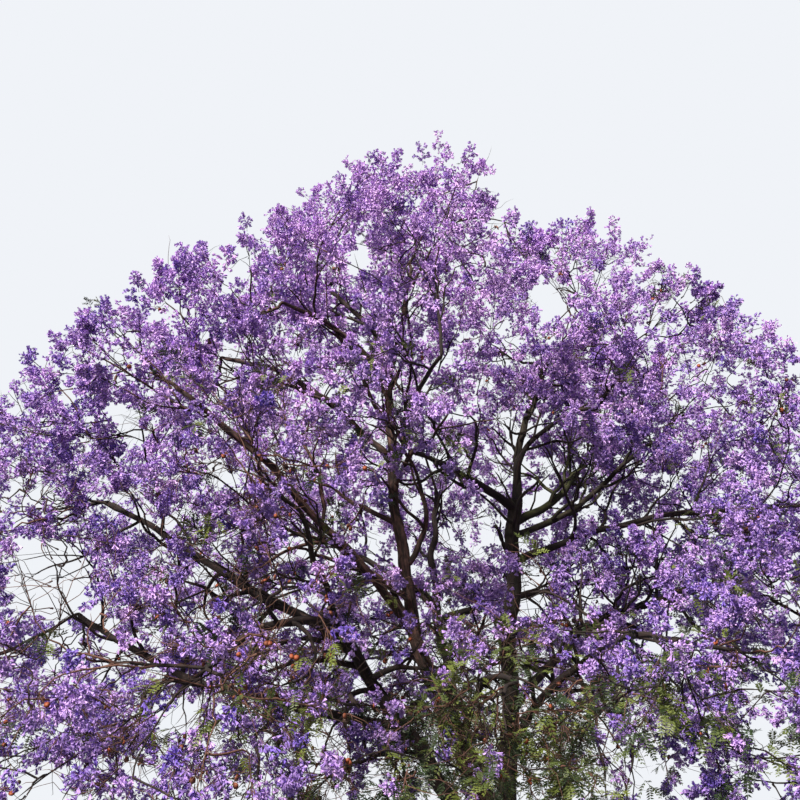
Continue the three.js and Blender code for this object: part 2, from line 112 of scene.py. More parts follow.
# Each blossom mass: the bough whose tip carries it, how its middle lies from that tip (bearing, rise,
# distance), and the radius of its own space.
MASSES = {
    "crown-top-blossom": ("top-bough", 85, 50, 1.8, 1.9),
    "high-left-blossom": ("high-left-bough", 85, 40, 1.2, 1.75),
    "front-top-blossom": ("front-bough", 125, 85, 1.5, 1.75),
    "upper-left-blossom": ("upper-left-bough", -165, -20, 0.65, 1.6),
    "west-blossom": ("west-bough", 115, -30, 0.75, 1.7),
    "pale-bough-blossom": ("pale-bough", 150, 35, 1.2, 1.5),
    "centre-blossom": ("centre-bough", -110, 5, 1.3, 1.25),
    "inner-right-blossom": ("inner-right-bough", -65, 20, 1.25, 1.6),
    "right-peak-blossom": ("peak-bough", -20, 55, 1.25, 1.8),
    "rear-peak-blossom": ("peak-bough", 115, 40, 2, 1.8),
    "mossy-bough-blossom": ("mossy-bough", 35, 25, 1.05, 2.0),
    "right-blossom": ("right-bough", -25, 35, 1.2, 1.8),
    "long-right-blossom": ("long-right-bough", 15, 5, 1.55, 1.75),
    "front-right-blossom": ("long-right-bough", -75, -15, 1.75, 1.6),
    "low-right-blossom": ("low-right-bough", -50, -15, 1.5, 1.7),
    "low-front-blossom": ("low-front-bough", -110, -15, 1.25, 1.25),
    "far-right-blossom": ("far-right-bough", -45, -35, 2.4, 1.75),
    "rear-far-right-blossom": ("far-right-bough", 45, 0, 1.95, 1.9),
    "drooping-front-blossom": ("drooping-bough", -65, -20, 1.1, 1.6),
    "drooping-left-blossom": ("drooping-bough", -175, 0, 1.5, 1.8),
    "far-left-blossom": ("long-left-bough", 160, 5, 1.55, 1.9),
    "left-front-blossom": ("long-left-bough", -105, -25, 2.1, 1.8),
    "low-left-blossom": ("far-left-bough", -155, -30, 1.65, 1.75),
    "low-left-rear-blossom": ("far-left-bough", 105, 0, 2.5, 1.9),
    "front-left-blossom": ("front-left-bough", -120, 25, 1.05, 1.7),
    "rear-left-blossom": ("rear-left-bough", -125, 85, 1.2, 2.0),
    "rear-far-left-blossom": ("rear-left-bough", -180, -15, 2.15, 2.0),
    "rear-top-blossom": ("rear-bough", -155, 70, 1.75, 1.9),
    "rear-blossom": ("rear-bough", 75, -15, 1.3, 2.0),
    "rear-right-blossom": ("rear-right-bough", 95, -5, 1.3, 2.0),
    "rear-upper-right-blossom": ("rear-right-bough", 0, 15, 2.25, 1.8),
    "rear-low-blossom": ("rear-low-bough", 135, 5, 1.45, 2.0),
}

# How leafy each mass is, as a share of its fine shoots. The rest have a few leaves.
LEAFY = {
    "low-front-blossom": 0.55, "low-right-blossom": 0.5, "centre-blossom": 0.35,
    "drooping-front-blossom": 0.3, "front-right-blossom": 0.3, "inner-right-blossom": 0.2,
    "long-right-blossom": 0.2, "front-left-blossom": 0.2, "drooping-left-blossom": 0.15,
}
LEAFY_ELSEWHERE = 0.045
LOW_LEAVES = Sizes(share=0.8, all_below=2.6, none_above=4.2, middle=0.2, spread=2.6, back=6)

# How leafy or bare the shoots on a branchlet are, as a share of what single shoots are
SHARE_ON_SPRAYS = Sizes(leafy=0.5, bare=0.45)

# The share of a mass's shoots that is bare, and the masses where it is more
BARE = 0.12
BARER = {
    "drooping-left-blossom": 0.5, "drooping-front-blossom": 0.6, "front-left-blossom": 0.4,
    "low-left-blossom": 0.3, "low-front-blossom": 0.3,
}

# Side boughs that fork from every stem and bough, and fork again: where along their parent they
# leave, how long and thick they are, and how much they wander on the way
SIDE = Sizes(
    start=0.22, start_on_stem=0.4, to=0.96, spacing=0.46, place=(0.2, 0.8), tries=10,
    tilt=(32, 66), long=(0.9, 1.9), steps=10, wander=0.2,
    girth=0.6, thinnest=0.015, thickest=0.044, tip=0.35,
)
FORK = Sizes(
    at=(0.32, 0.55, 0.8), tilt=(30, 60), long=0.55, varies=(0.7, 1.2), steps=6,
    girth=0.7, thinnest=0.009, tip=0.5,
)
LIFT = Sizes(low=3.0, high=6.0, droops=-0.08, rises=0.07)
# How closely they stand where that is closer than usual
SPACINGS = {
    "peak-bough": 0.32, "mossy-bough": 0.32, "right-bough": 0.32, "long-right-bough": 0.28,
    "centre-bough": 0.32, "inner-right-bough": 0.34, "low-right-bough": 0.2, "far-right-bough": 0.2,
    "low-front-bough": 0.24, "drooping-bough": 0.3, "front-left-bough": 0.32, "far-left-bough": 0.34,
    "long-left-bough": 0.34, "low-stem": 0.34, "rear-low-bough": 0.34, "rear-right-bough": 0.36,
}

# Sprouts low on the stems, the branchlets that end all of these, and single shoots along them
SPROUTS = Sizes(
    counts={"left-stem": 8, "right-stem": 7, "low-stem": 6, "rear-stem": 4},
    at=(0.06, 0.42), tilt=(35, 75), long=(0.5, 1.1), steps=6, radii=(0.009, 0.005),
)
BRANCHLET = Sizes(lead=0.06, lean=0.15, long=(0.45, 0.8), panicles=5, past_reach=0.5)
ALONG = Sizes(count=2, at=(0.15, 0.95), tilt=(0.6, 1.4), lead=(0.05, 0.3), long=(0.25, 0.42))

# Where side boughs may end: in the middle of the crown, in its low skirt, or in a mass's own space
IN_REACH = Sizes(
    least=1.35, middle=(-1.0, 0.8, 5.2), half=(6.4, 5.2, 4.6), share=0.66,
    skirt=3.4, skirt_middle=(-1.0, -0.4), skirt_half=(5.4, 4.2), of_mass=(1.12, 1.0),
)

# Fine boughs that fill the shoulders of the outline: bearing and rise from the middle of their mass
SHOULDERS = {
    "crown-top-blossom": ((-40, 25), (180, 60)),
    "high-left-blossom": (
        (180, 56), (180, 64), (-150, 72), (180, 78), (90, 80), (0, 88), (-90, 84), (-170, 50),
    ),
    "front-top-blossom": ((0, 20), (0, 8), (-10, -6)),
    "upper-left-blossom": ((180, 28), (180, 15), (170, 40)),
    "pale-bough-blossom": ((180, -39), (180, -58), (0, 67), (10, 55), (180, -12), (-90, -40)),
    "inner-right-blossom": ((0, 43), (10, 30), (0, 60), (-20, 15), (0, 50), (-10, 37), (5, 8)),
    "right-peak-blossom": (
        (-150, 78), (180, 70), (-100, 82), (0, 86), (180, 50), (-170, 32), (-160, 42), (0, 55), (180, 76),
        (170, 62),
    ),
    "rear-peak-blossom": ((0, 74), (-20, 60)),
    "right-blossom": (
        (0, 0), (0, -18), (0, 82), (10, 20), (0, 60), (-10, 40), (10, -35), (0, 72), (10, 50), (-5, 30),
        (0, 10),
    ),
    "long-right-blossom": ((180, 77), (150, 60), (180, 50), (0, 75)),
    "front-right-blossom": (
        (180, -40), (-150, -55), (170, -60), (-90, -50), (-160, -35), (-120, -75), (180, 80), (-150, 65),
    ),
    "low-right-blossom": (
        (-150, -25), (180, -50), (-120, -55), (-90, -70), (180, -12), (170, -30), (-170, 5),
        (-150, -70), (0, -85), (-90, -50), (-60, -60), (150, -65), (-120, -20), (180, -40), (180, -66),
    ),
    "low-front-blossom": (
        (-30, -40), (160, -40), (-90, -60), (0, -5), (10, -30), (-10, 10), (30, -15), (180, -37), (0, -30),
    ),
    "far-right-blossom": (
        (-140, -30), (-100, -50), (-120, 0), (-170, -20), (180, 10), (-160, -45), (170, -60),
    ),
    "drooping-front-blossom": ((180, -34), (-170, -45), (0, -33), (-90, -60), (-20, -50)),
    "drooping-left-blossom": ((180, -78), (0, -82), (0, -60), (-90, -70), (180, -55)),
    "far-left-blossom": ((-60, 70), (0, 80), (150, 60), (-110, 55), (180, 75), (0, 57), (0, 70)),
    "left-front-blossom": ((0, 61), (0, 75), (180, 78)),
    "low-left-blossom": ((0, -49), (-90, -60), (-30, -65)),
    "low-left-rear-blossom": ((180, -75), (0, -75)),
    "rear-blossom": ((0, 58), (0, 34), (0, 8), (10, 70), (-20, 45)),
    "rear-top-blossom": ((0, -31), (0, -20)),
    "mossy-bough-blossom": ((180, -21), (180, -4), (180, -45), (180, -79), (-170, -30)),
}
SHOULDER = Sizes(reach=0.75, long=(0.5, 0.9), radii=(0.011, 0.007))

# Branchlets whose blossom is all left out: those that begin near their root become fine bare twigs
BARREN = Sizes(near=0.01, reach=0.35, long=0.5)

# How far the shoots of the upper crown reach, in radii of their mass
OUTLINE = Sizes(start=5.5, reach=1.03)

# Where the viewer of the photograph stood
VIEWER = (-1.3, -13.0, 1.6)

# Limbs that show through the blossom in front of them: from where to where along them, and the share
# of that blossom that is left out. SIGHT says how near the line of sight counts as in front.
SHOWN = {
    "left-stem": (0.3, 1.0, 0.45),
    "right-stem": (0.3, 1.0, 0.6),
    "centre-bough": (0.0, 1.0, 0.5),
    "inner-right-bough": (0.0, 1.0, 0.4),
    "top-bough": (0.0, 0.9, 0.55),
    "high-left-bough": (0.0, 0.8, 0.45),
    "upper-left-bough": (0.3, 0.9, 0.4),
    "peak-bough": (0.0, 0.5, 0.4),
    "mossy-bough": (0.0, 1.0, 0.5),
    "right-bough": (0.0, 1.0, 0.55),
    "long-right-bough": (0.0, 0.6, 0.6),
    "low-right-bough": (0.1, 0.6, 0.5),
    "long-left-bough": (0.2, 1.0, 0.85),
    "pale-bough": (0.55, 1.0, 0.75),
    "west-bough": (0.4, 0.9, 0.5),
    "drooping-bough": (0.0, 0.8, 0.4),
    "far-left-bough": (0.6, 1.0, 0.7),
}
SHOWN_FORKS = (
    "top-bough", "centre-bough", "inner-right-bough", "mossy-bough", "right-bough", "long-right-bough",
    "long-left-bough",
)
SIGHT = Sizes(limb=0.13, panicle=0.1, before=0.15, forks=0.4)

# Gaps that the viewer sees through the crown: turn and rise, then half their width and height, in degrees
OPENINGS = (
    (-23.2, 28.2, 1.9, 1.9),
    (-20.7, 12.5, 2.4, 2.4),
    (-11.6, 25.7, 1.0, 1.8),
    (-2.8, 32.6, 1.0, 1.0),
    (10.2, 30.2, 1.3, 0.9),
    (9.9, 19.8, 0.5, 0.5),
    (8.1, 12.3, 1.1, 1.8),
    (-12.8, 5.2, 1.6, 1.1),
)

# How far the grown paths stray from the plain ones: two sizes of bend, none at the foot
CROOKS = ((0.95, 0.085), (0.37, 0.022))
CROOKS_FROM = (1.2, 3.2)

# Long twigs that bear nothing, so many for each branchlet, and the twigs at the end of a bare shoot.
# Their girth is a share of a panicle's twig from start to end, and none hangs too low.
TANGLE = Sizes(
    where_pale=7, elsewhere=1, start=0.4, tilt=(0.6, 1.4), long=(0.35, 1.0), cut=0.3,
    curl=0.4, points=7, crook=0.03, girth=(1.2, 0.4),
)
BARE_SHOOT = Sizes(
    count=3, spread=0.55, droop=0.15, apart=0.04, long=(0.6, 1.5),
    points=6, crook=0.07, girth=(1.3, 0.4),
)
LOWEST_TWIG = 0.6

# Limbs that are paler or mossier than the rest, the paler bark partly younger wood and partly painted
# sunlight, and masses whose twigs are more often pale, partly as painted sunlight
PALE_SUNLIT_LIMBS = {
    "trunk": 0.35, "pale-bough": 0.9, "left-stem": 0.55, "top-bough": 0.5, "upper-left-bough": 0.6,
    "west-bough": 0.4,
}
MOSSY_LIMBS = {"mossy-bough": 0.8, "right-stem": 0.15, "peak-bough": 0.2, "right-bough": 0.3}
PALE_SUNLIT_TWIGS = {
    "low-left-blossom": 0.6, "drooping-left-blossom": 0.6, "drooping-front-blossom": 0.6,
    "front-left-blossom": 0.5, "low-front-blossom": 0.5, "left-front-blossom": 0.3,
}
PALE_ELSEWHERE = Sizes(limbs=0.05, twigs=0.12)
BROWN_TWIGS = 0.4
SEEDS = Sizes(
    crooks=3, sides=7, sprouts=19, shoots=11, flowers=23, twigs=37, leaves=41, pods=53,
)

# Finish of the bark and of the boughs
FURROW_STRETCH = 0.16
RIDGE_STRETCH = 0.22
RELIEF = Sizes(least_spacing=0.35, finer=2.1, finer_depth=0.5, gain=2, between=(-1.4, 0.9))
MOSS_HEIGHT = 0.5
CROTCH = Sizes(start=0.7, narrows=0.75)
COLLAR = Sizes(swell=0.35, fades=0.9)
ROOT_DEPTH = 0.05
INNER = Sizes(
    sunk=0.05, knots=(0.2, 0.4, 0.5, 0.6, 0.7, 0.8, 0.9, 1.0), crook=0.02,
    paired=0.7, single=0.97, tip=0.012,
)
FINER_STEPS = 4
SIDES = Sizes(stems=24, boughs=12, inner=8, forks=6, branchlets=4, twigs=3)
VOXEL_SMOOTHING = 8

# Branchlets and twigs as drawn: points along each, and what is left of the radius at its end
DRAWN = Sizes(branchlet=8, past_base=(0.2, 0.45, 0.7), branchlet_tip=0.3, twig=4, twig_tip=0.6)
TWIG_CROOK = 0.03

# Panicles on a branchlet, flowers in a panicle, fronds in a tuft, leaflets on a frond, and pods: where
# they stand, how they lean in degrees, and the ranges that they vary in
ON_SPRAY = Sizes(
    start=0.06, over=0.6, last=0.7, strays=0.03, tilts=(60, 32), tilt=(0.85, 1.15),
    spin=0.3, reach=(0.75, 1.05), long=(0.75, 1.2), of_reach=0.9,
)
STALK = Sizes(
    start=0.04, over=0.86, tilt=58, tilts=(0.8, 1.2), strays=0.1,
    widest=1.1, narrows=0.72, long=(0.65, 1.25), shown=4, axis_girth=0.6, girth=0.4,
)
FLOWER = Sizes(
    first=0.8, strays=0.1, outward=0.6, turns=0.5, largest=1.08, shrinks=0.3,
    size=(0.8, 1.15), fullness=(0.65, 1.0), half_open_width=0.85,
)
PETAL_TINTS = Sizes(count=7, panicles_vary=1.1, flowers_vary=0.7)
# Painted light and shade on the petals: tints shift lighter high up and in the middle of the crown, deeper
# low down and outside
PAINTED_SUN_TINT = Sizes(middle=-1, half=7, most=0.9, outside=1.4, level=5.5, per_metre=0.32)
TUFT = Sizes(
    tilts=(75, 25), tilt=(0.8, 1.2), along=0.35, long=(0.7, 1.2), sparse=0.55,
    shoot=(0, 0.2, 0.4), radii=(0.003, 0.002),
)
FROND = Sizes(
    rib=(0, 0.55, 1), radii=(0.0022, 0.0012), droop=(0.5, 1.4), turns=0.25,
    leaflets=(0.2, 0.95), tapers=1.6, aim=(0.87, 0.5), strays=0.12,
    last=0.7, last_at=0.97, last_wide=0.3,
)
LEAF_TINTS = 4
POD = Sizes(every=2, along=0.12, strays=0.02, hang=0.35, size=(0.8, 1.2), tints=3)

# Where the crown is parted into pieces of blossom
PARTED = Sizes(rear=1.5, rear_upper=6.5, upper=6.6, left=-1.3)

STAGE = Sizes(
    key_turn=(47, 0, -30), key_wide=6, far=300, floor_radius=70, floor_sides=96,
    floor_sunk=0.003,
)

# Rules of growth

def seeded(seed):
    """A repeatable run of numbers between 0 and 1."""
    state = (seed * DRAWS.seed_factor + DRAWS.seed_start) % DRAWS.whole_turn
    while True:
        state = (state * DRAWS.factor) % DRAWS.whole_turn
        yield state / DRAWS.whole_turn


def heading(bearing, rise):
    """The unit vector of a bearing and a rise in degrees."""
    turn = math.radians(bearing)
    lift = math.radians(rise)
    return np.array([math.cos(lift) * math.cos(turn), math.cos(lift) * math.sin(turn), math.sin(lift)])


def lerp(first, last, share):
    """What lies at a share of the way from the first to the last."""
    return first + (last - first) * share


def unit(vectors):
    """The vectors at length 1."""
    return vectors / np.maximum(np.linalg.norm(vectors, axis=-1, keepdims=True), 1e-12)


def span(vectors):
    """The length of each vector, along the last axis."""
    return np.linalg.norm(vectors, axis=-1 if np.ndim(vectors) > 1 else None)


def even_share(count):
    """Shares 0.5, 0.25, 0.75 and so on, that fill a run evenly however many are taken."""
    share = 0.0
    step = 0.5
    while count > 0:
        share += step * (count % 2)
        step /= 2
        count //= 2
    return share


def grow_path(start, length, bearings, rises, seed):
    """A limb turns evenly from its first heading to its last, with a slight crook."""
    side = heading(bearings[0] + 90, 0)
    phase = 360 * next(seeded(seed))
    steps = LIMB.steps
    spine = np.array(start, float)
    points = [spine.copy()]
    for step in range(steps):
        middle = (step + 0.5) / steps
        spine = spine + heading(lerp(*bearings, middle), lerp(*rises, middle)) * length / steps
        share = (step + 1) / steps
        bend = math.sin(math.pi * share) * math.sin(math.radians(phase + LIMB.crook_turn * share))
        points.append(spine + side * LIMB.crook * length * bend)
    return np.array(points)


def along(points, share):
    """The point at a share of a path."""
    place = share * (len(points) - 1)
    index = min(int(place), len(points) - 2)
    return lerp(points[index], points[index + 1], place - index)


def grow_limbs():
    """Each limb's path and its radius from start to end, by name."""
    trunk = grow_path((0, 0, 0), TRUNK.height, (180, 180), TRUNK.rises, 0)
    limbs = {"trunk": (trunk, (TRUNK.radius, TRUNK.top))}
    for index, (name, row) in enumerate(LIMBS.items()):
        parent, share, length, bearings, rises, radii = row
        start = along(limbs[parent][0], share)
        limbs[name] = (grow_path(start, length, bearings, rises, index + 1), radii)
    return limbs


class Mass:
    """One blossom mass: its own space, and the stem it grows from."""

    def __init__(self, index, name, limbs):
        self.bough, bearing, rise, distance, self.radius = MASSES[name]
        path, radii = limbs[self.bough]
        self.name = name
        self.index = index
        self.seed = SEEDS_PER_MASS * (index + 1)
        self.tip = path[-1]
        self.onward = unit(path[-1] - path[-2])
        self.bough_radius = radii[1]
        self.centre = self.tip + heading(bearing, rise) * distance
        self.paired = False

    def set_stem(self, partner):
        """The stem sets off square to the bough's tip, beside its partner's if there is one."""
        self.foot = self.tip + self.onward * STEM.clear
        if partner:
            self.paired = True
            apart = self.centre - partner.centre
            apart = unit(apart - self.onward * (apart @ self.onward))
            self.foot = self.foot + apart * self.bough_radius * STEM.pair_gap
        self.knee = self.foot + self.onward * STEM.knee
        self.heart = lerp(self.foot, self.centre, STEM.reach)


def place_masses(limbs):
    """Every mass with its stem, which makes room for the other one on the same tip."""
    masses = [Mass(index, name, limbs) for index, name in enumerate(MASSES)]
    for mass in masses:
        partners = [other for other in masses if other is not mass and other.bough == mass.bough]
        mass.set_stem(partners[0] if partners else None)
    return masses


class Room:
    """What the twigs and sprays of one mass keep clear of: its neighbours' spaces, limbs and stems."""

    def __init__(self, mass, masses, limbs):
        self.mass = mass
        others = [other for other in masses if other is not mass]
        self.centres = np.array([other.centre for other in others])
        self.radii = np.array([other.radius for other in others])
        self.spans = span(self.centres - mass.centre)
        starts, ends, thick = [], [], []
        for path, radii in limbs.values():
            starts.extend(path[:-1])
            ends.extend(path[1:])
            thick.extend(lerp(*radii, step / LIMB.steps) for step in range(LIMB.steps))
        for other in others:
            starts.extend([other.foot, other.knee])
            ends.extend([other.knee, other.heart])
            thick.extend([STEM.foot] * 2)
        self.starts = np.array(starts)
        self.runs = np.array(ends) - self.starts
        self.thick = np.array(thick)

    def fits(self, points, radii):
        """Whether every bead keeps inside the mass's own space and clear of every limb."""
        reach = span(points - self.mass.centre)
        if reach.max() > self.mass.radius:
            return False
        to_mass = reach**2 - self.mass.radius**2
        offsets = points[:, None] - self.centres
        to_other = np.einsum("ijk,ijk->ij", offsets, offsets) - self.radii**2
        depth = (to_other - to_mass[:, None]) / (2 * self.spans)
        if (depth < radii[:, None] + SPACE_MARGIN).any():
            return False
        offsets = points[:, None] - self.starts
        lengths = np.einsum("jk,jk->j", self.runs, self.runs)
        shares = np.clip(np.einsum("ijk,jk->ij", offsets, self.runs) / lengths, 0, 1)
        gaps = span(offsets - shares[..., None] * self.runs)
        return bool((gaps > radii[:, None] + self.thick + LIMB_MARGIN).all())


def beads_of(start, end, radius_at, count):
    """A row of beads that stands for a twig or a spray: their middles and radii."""
    shares = (np.arange(count) + 0.5) / count
    return start + np.outer(shares, end - start), np.array([radius_at(share) for share in shares])


def crowded(beads, others, apart):
    """Whether any bead lies against what has grown before it."""
    if not others:
        return False
    points = np.concatenate([other[0] for other in others])
    radii = np.concatenate([other[1] for other in others])
    gaps = span(beads[0][:, None] - points)
    return bool((gaps < apart * (beads[1][:, None] + radii)).any())


def propose_spray(mass, turn, full):
    """Where the next spray would lie: evenly spread round the mass, each leaning its own way."""
    draw = seeded(mass.seed + turn)
    level = math.degrees(math.asin(1 - 2 * even_share(turn)))
    outward = heading(turn * GOLDEN_ANGLE + SPREAD.turn_jitter * next(draw), level)
    long = full * (SPREAD.shortest + SPREAD.varies * next(draw))
    away = (mass.radius - long) * lerp(SPREAD.nearest, 1, next(draw))
    base = mass.centre + outward * away
    lean = heading(360 * next(draw), SPREAD.lean_rise * next(draw))
    return base, unit(outward + SPRAY.lean * lean), long


class Growth:
    """The twigs and sprays of one mass. Each spray's twig leaves the nearest part of what has grown
    so far, counting the way back to the stem's foot and the forks already there."""

    def __init__(self, mass, room):
        self.mass = mass
        self.room = room
        self.sprays = []
        self.blooms = []
        self.grown = [beads_of(mass.knee, mass.heart, lambda share: STEM.heart, TWIG.beads)]
        self.nodes = []
        for share in STEM_FORKS:
            point = lerp(mass.knee, mass.heart, share)
            if room.fits(point[None], np.array([STEM.heart])):
                self.add_node(point, span(point - mass.foot), unit(mass.heart - mass.knee))

    def add_node(self, point, way_back, onward):
        self.nodes.append(Sizes(point=point, way_back=way_back, onward=onward, forks=0))

    def add_node_on(self, spray, share):
        """A place to fork from, at a share of a spray's length."""
        point = spray.base + spray.aim * share * spray.long
        way_back = spray.node.way_back + span(spray.node.point - point)
        self.add_node(point, way_back, spray.aim)

    def nearest_node(self, base):
        def cost(node):
            reach = span(node.point - base)
            return reach + TWIG.way_back_cost * node.way_back + TWIG.fork_cost * node.forks
        return min(self.nodes, key=cost)

    def try_turn(self, turn, full, radius, apart):
        """Grows one spray if there is room for it and for its twig."""
        base, aim, long = propose_spray(self.mass, turn, full)
        node = self.nearest_node(base)
        tip = base + aim * long

        def swell(share):
            return long * SPRAY.girth * (SPRAY.fullness - abs(2 * share - 1))

        spray = beads_of(base, tip, swell, SPRAY.beads)
        twig = beads_of(node.point, base, lambda share: radius, TWIG.beads)
        bloom_and_twig = [np.concatenate(pair) for pair in zip(spray, twig)]
        if not self.room.fits(*bloom_and_twig):
            return None
        past_root = [part[TWIG.root_beads:] for part in twig]
        if crowded(spray, self.grown, apart) or crowded(past_root, self.blooms, apart):
            return None
        self.blooms.append(spray)
        self.grown.extend([spray, twig])
        node.forks += 1
        return Sizes(node=node, base=base, aim=aim, long=long, mass=self.mass)

    def grow(self):
        """The sprays that the solids show."""
        full = min(SPRAY.long, SPRAY.of_radius * self.mass.radius)
        wanted = math.floor(SPRAYS_PER_AREA * self.mass.radius**2 + 0.5)
        for turn in range(1, TRIES_PER_MASS + 1):
            if len(self.sprays) == wanted:
                break
            spray = self.try_turn(turn, full, TWIG.radius, APART)
            if spray:
                self.sprays.append(spray)
                self.add_node_on(spray, TWIG.sunk)

    def grow_finer(self):
        """Single shoots in the room that the sprays leave, by the same rule carried on."""
        for spray in self.sprays:
            for share in FINE.spray_forks:
                self.add_node_on(spray, share)
        self.shoots = []
        wanted = round(FINE.per_area * self.mass.radius**2)
        for turn in range(TRIES_PER_MASS + 1, TRIES_PER_MASS + FINE.tries + 1):
            if len(self.shoots) == wanted:
                break
            shoot = self.try_turn(turn, FINE.long, FINE.radius, FINE.apart)
            if shoot:
                self.shoots.append(shoot)


@functools.cache
def tree():
    """The whole tree's growth: limbs, and each mass's sprays and finer shoots."""
    limbs = grow_limbs()
    masses = place_masses(limbs)
    growths = []
    for mass in masses:
        growth = Growth(mass, Room(mass, masses, limbs))
        growth.grow()
        growth.grow_finer()
        growths.append(growth)
    return limbs, growths


# Shapes made from arrays

UP = np.array([0.0, 0.0, 1.0])
MOST_TRIANGLES = 200_000


def across(vectors):
    """A unit vector square to each given one."""
    helper = np.where(np.abs(vectors[..., 2:]) < 0.9, UP, np.array([1.0, 0.0, 0.0]))
    return unit(np.cross(vectors, helper))


def square_to(onward, vectors):
    """What each vector has square to the onward one, as a unit vector."""
    return unit(vectors - np.sum(vectors * onward, axis=-1, keepdims=True) * onward)


def turned_side(aims, spins):
    """A unit vector square to each aim, turned about it by the spin in radians."""
    side = across(aims)
    return side * np.cos(spins)[..., None] + np.cross(aims, side) * np.sin(spins)[..., None]


def axes_of(aims, spins):
    """Three square axes for each aim, the third along it, turned about it by the spin in radians."""
    first = turned_side(aims, spins)
    return np.stack([first, np.cross(aims, first), aims], axis=-2)


def round_about(aims, spins, tilts):
    """Directions that lean away from each aim by the tilt, spun about it. Both are in radians."""
    return aims * np.cos(tilts)[..., None] + turned_side(aims, spins) * np.sin(tilts)[..., None]


def arch(starts, onwards, ends, aims, count):
    """A curve of so many points for each pair of ends, leaving one way and arriving another."""
    reach = span(ends - starts)[..., None, None]
    share = np.linspace(0, 1, count)[:, None]
    rise = 3 * share**2 - 2 * share**3
    leave = (share**3 - 2 * share**2 + share) * reach * onwards[..., None, :]
    arrive = (share**3 - share**2) * reach * aims[..., None, :]
    return starts[..., None, :] * (1 - rise) + ends[..., None, :] * rise + leave + arrive


def count_triangles(piece):
    """Prints how many triangles a piece has, and stops if they are too many for it to keep them all."""
    piece.data.calc_loop_triangles()
    count = len(piece.data.loop_triangles)
    print(piece.name, count, "triangles")
    if count >= MOST_TRIANGLES:
        raise RuntimeError(f"{piece.name} has {count} triangles, and {MOST_TRIANGLES} is too many")


def read_points(mesh, key="co"):
    """The places of a mesh's corners as rows, or their normals."""
    values = np.empty(len(mesh.vertices) * 3)
    mesh.vertices.foreach_get(key, values)
    return values.reshape(-1, 3)


class Heap:
    """Corners and triangles of many small things of one kind, joined into one mesh."""

    def __init__(self):
        self.corners = []
        self.triangles = []
        self.tints = []
        self.count = 0

    def add(self, corners, triangles, tints=0):
        """Adds one copy for each row of corners. The triangles are the same in every copy."""
        number, size = corners.shape[:2]
        offsets = self.count + size * np.arange(number)
        self.corners.append(corners.reshape(-1, 3))
        self.triangles.append((offsets[:, None, None] + np.array(triangles)).reshape(-1, 3))
        self.tints.append(np.repeat(np.broadcast_to(tints, number), len(triangles)))
        self.count += number * size

    def tubes(self, paths, radii, sides, tints=0):
        """Adds a closed tube along each path, that ends in a point."""
        steps = paths.shape[1]
        onward = unit(np.gradient(paths, axis=1))
        side = square_to(onward, across(onward[:, :1]))
        other = np.cross(onward, side)
        turns = WHOLE_TURN * np.arange(sides) / sides
        spokes = side[:, :-1, None] * np.cos(turns)[:, None] + other[:, :-1, None] * np.sin(turns)[:, None]
        rings = paths[:, :-1, None] + spokes * radii[:, :-1, None, None]
        corners = np.concatenate([rings.reshape(len(paths), -1, 3), paths[:, -1:]], axis=1)
        triangles = [(0, corner + 1, corner) for corner in range(1, sides - 1)]
        for ring in range(steps - 2):
            for corner in range(sides):
                low = ring * sides + corner
                next_low = ring * sides + (corner + 1) % sides
                triangles.append((low, next_low, next_low + sides))
                triangles.append((low, next_low + sides, low + sides))
        last = (steps - 2) * sides
        tip = (steps - 1) * sides
        triangles.extend((last + corner, last + (corner + 1) % sides, tip) for corner in range(sides))
        self.add(corners, triangles, tints)

    def twigs(self, paths, first, last, tints=0, sides=SIDES.twigs):
        """Adds tubes that all taper alike, from the first radius to the last."""
        radii = np.broadcast_to(np.linspace(first, last, paths.shape[1]), paths.shape[:2])
        self.tubes(paths, radii, sides, tints)

    def copies(self, shape, triangles, places, axes, sizes, tints=0):
        """Adds copies of a small shape: sizes scales its own x, y and z, and axes turns them."""
        corners = places[:, None] + np.einsum("vk,nk,nkd->nvd", shape, sizes, axes)
        self.add(corners, triangles, tints)

    def piece(self, name, materials, slot):
        """Makes one object of the heap, with a material for each tint."""
        corners = np.concatenate(self.corners)
        triangles = np.concatenate(self.triangles)
        mesh = bpy.data.meshes.new(name)
        mesh.vertices.add(len(corners))
        mesh.vertices.foreach_set("co", corners.astype(np.float32).ravel())
        mesh.loops.add(triangles.size)
        mesh.loops.foreach_set("vertex_index", triangles.astype(np.int32).ravel())
        mesh.polygons.add(len(triangles))
        mesh.polygons.foreach_set("loop_start", np.arange(0, triangles.size, 3, dtype=np.int32))
        for material in materials:
            mesh.materials.append(material)
        mesh.polygons.foreach_set("material_index", np.concatenate(self.tints).astype(np.int32))
        mesh.update(calc_edges=True)
        piece = bpy.data.objects.new(name, mesh)
        bpy.context.scene.collection.objects.link(piece)
        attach(piece, "root")
        count_triangles(piece)
        return piece


# Small shapes, each modelled once and then copied

LOBE_PARTS = 4
POD_SIDES = 8


def open_primitive(add, **sizes):
    """Adds one primitive with nothing else selected, and opens it in edit mode."""
    bpy.ops.object.select_all(action="DESELECT")
    add(**sizes)
    bpy.ops.object.mode_set(mode="EDIT")
    return bpy.context.object


def select(shape, kind, chosen):
    """In edit mode, selects only the corners or faces that the test chooses."""
    bpy.ops.mesh.select_mode(type=kind)
    bpy.ops.mesh.select_all(action="DESELECT")
    bpy.ops.object.mode_set(mode="OBJECT")
    for part in shape.data.vertices if kind == "VERT" else shape.data.polygons:
        part.select = chosen(part)
    bpy.ops.object.mode_set(mode="EDIT")


def read_shape(shape):
    """The corners and triangles of a finished small shape, which is then put away."""
    bpy.ops.object.mode_set(mode="OBJECT")
    mesh = shape.data
    corners = read_points(mesh)
    mesh.calc_loop_triangles()
    triangles = np.array([face.vertices for face in mesh.loop_triangles])
    bpy.data.objects.remove(shape)
    bpy.data.meshes.remove(mesh)
    return corners, triangles


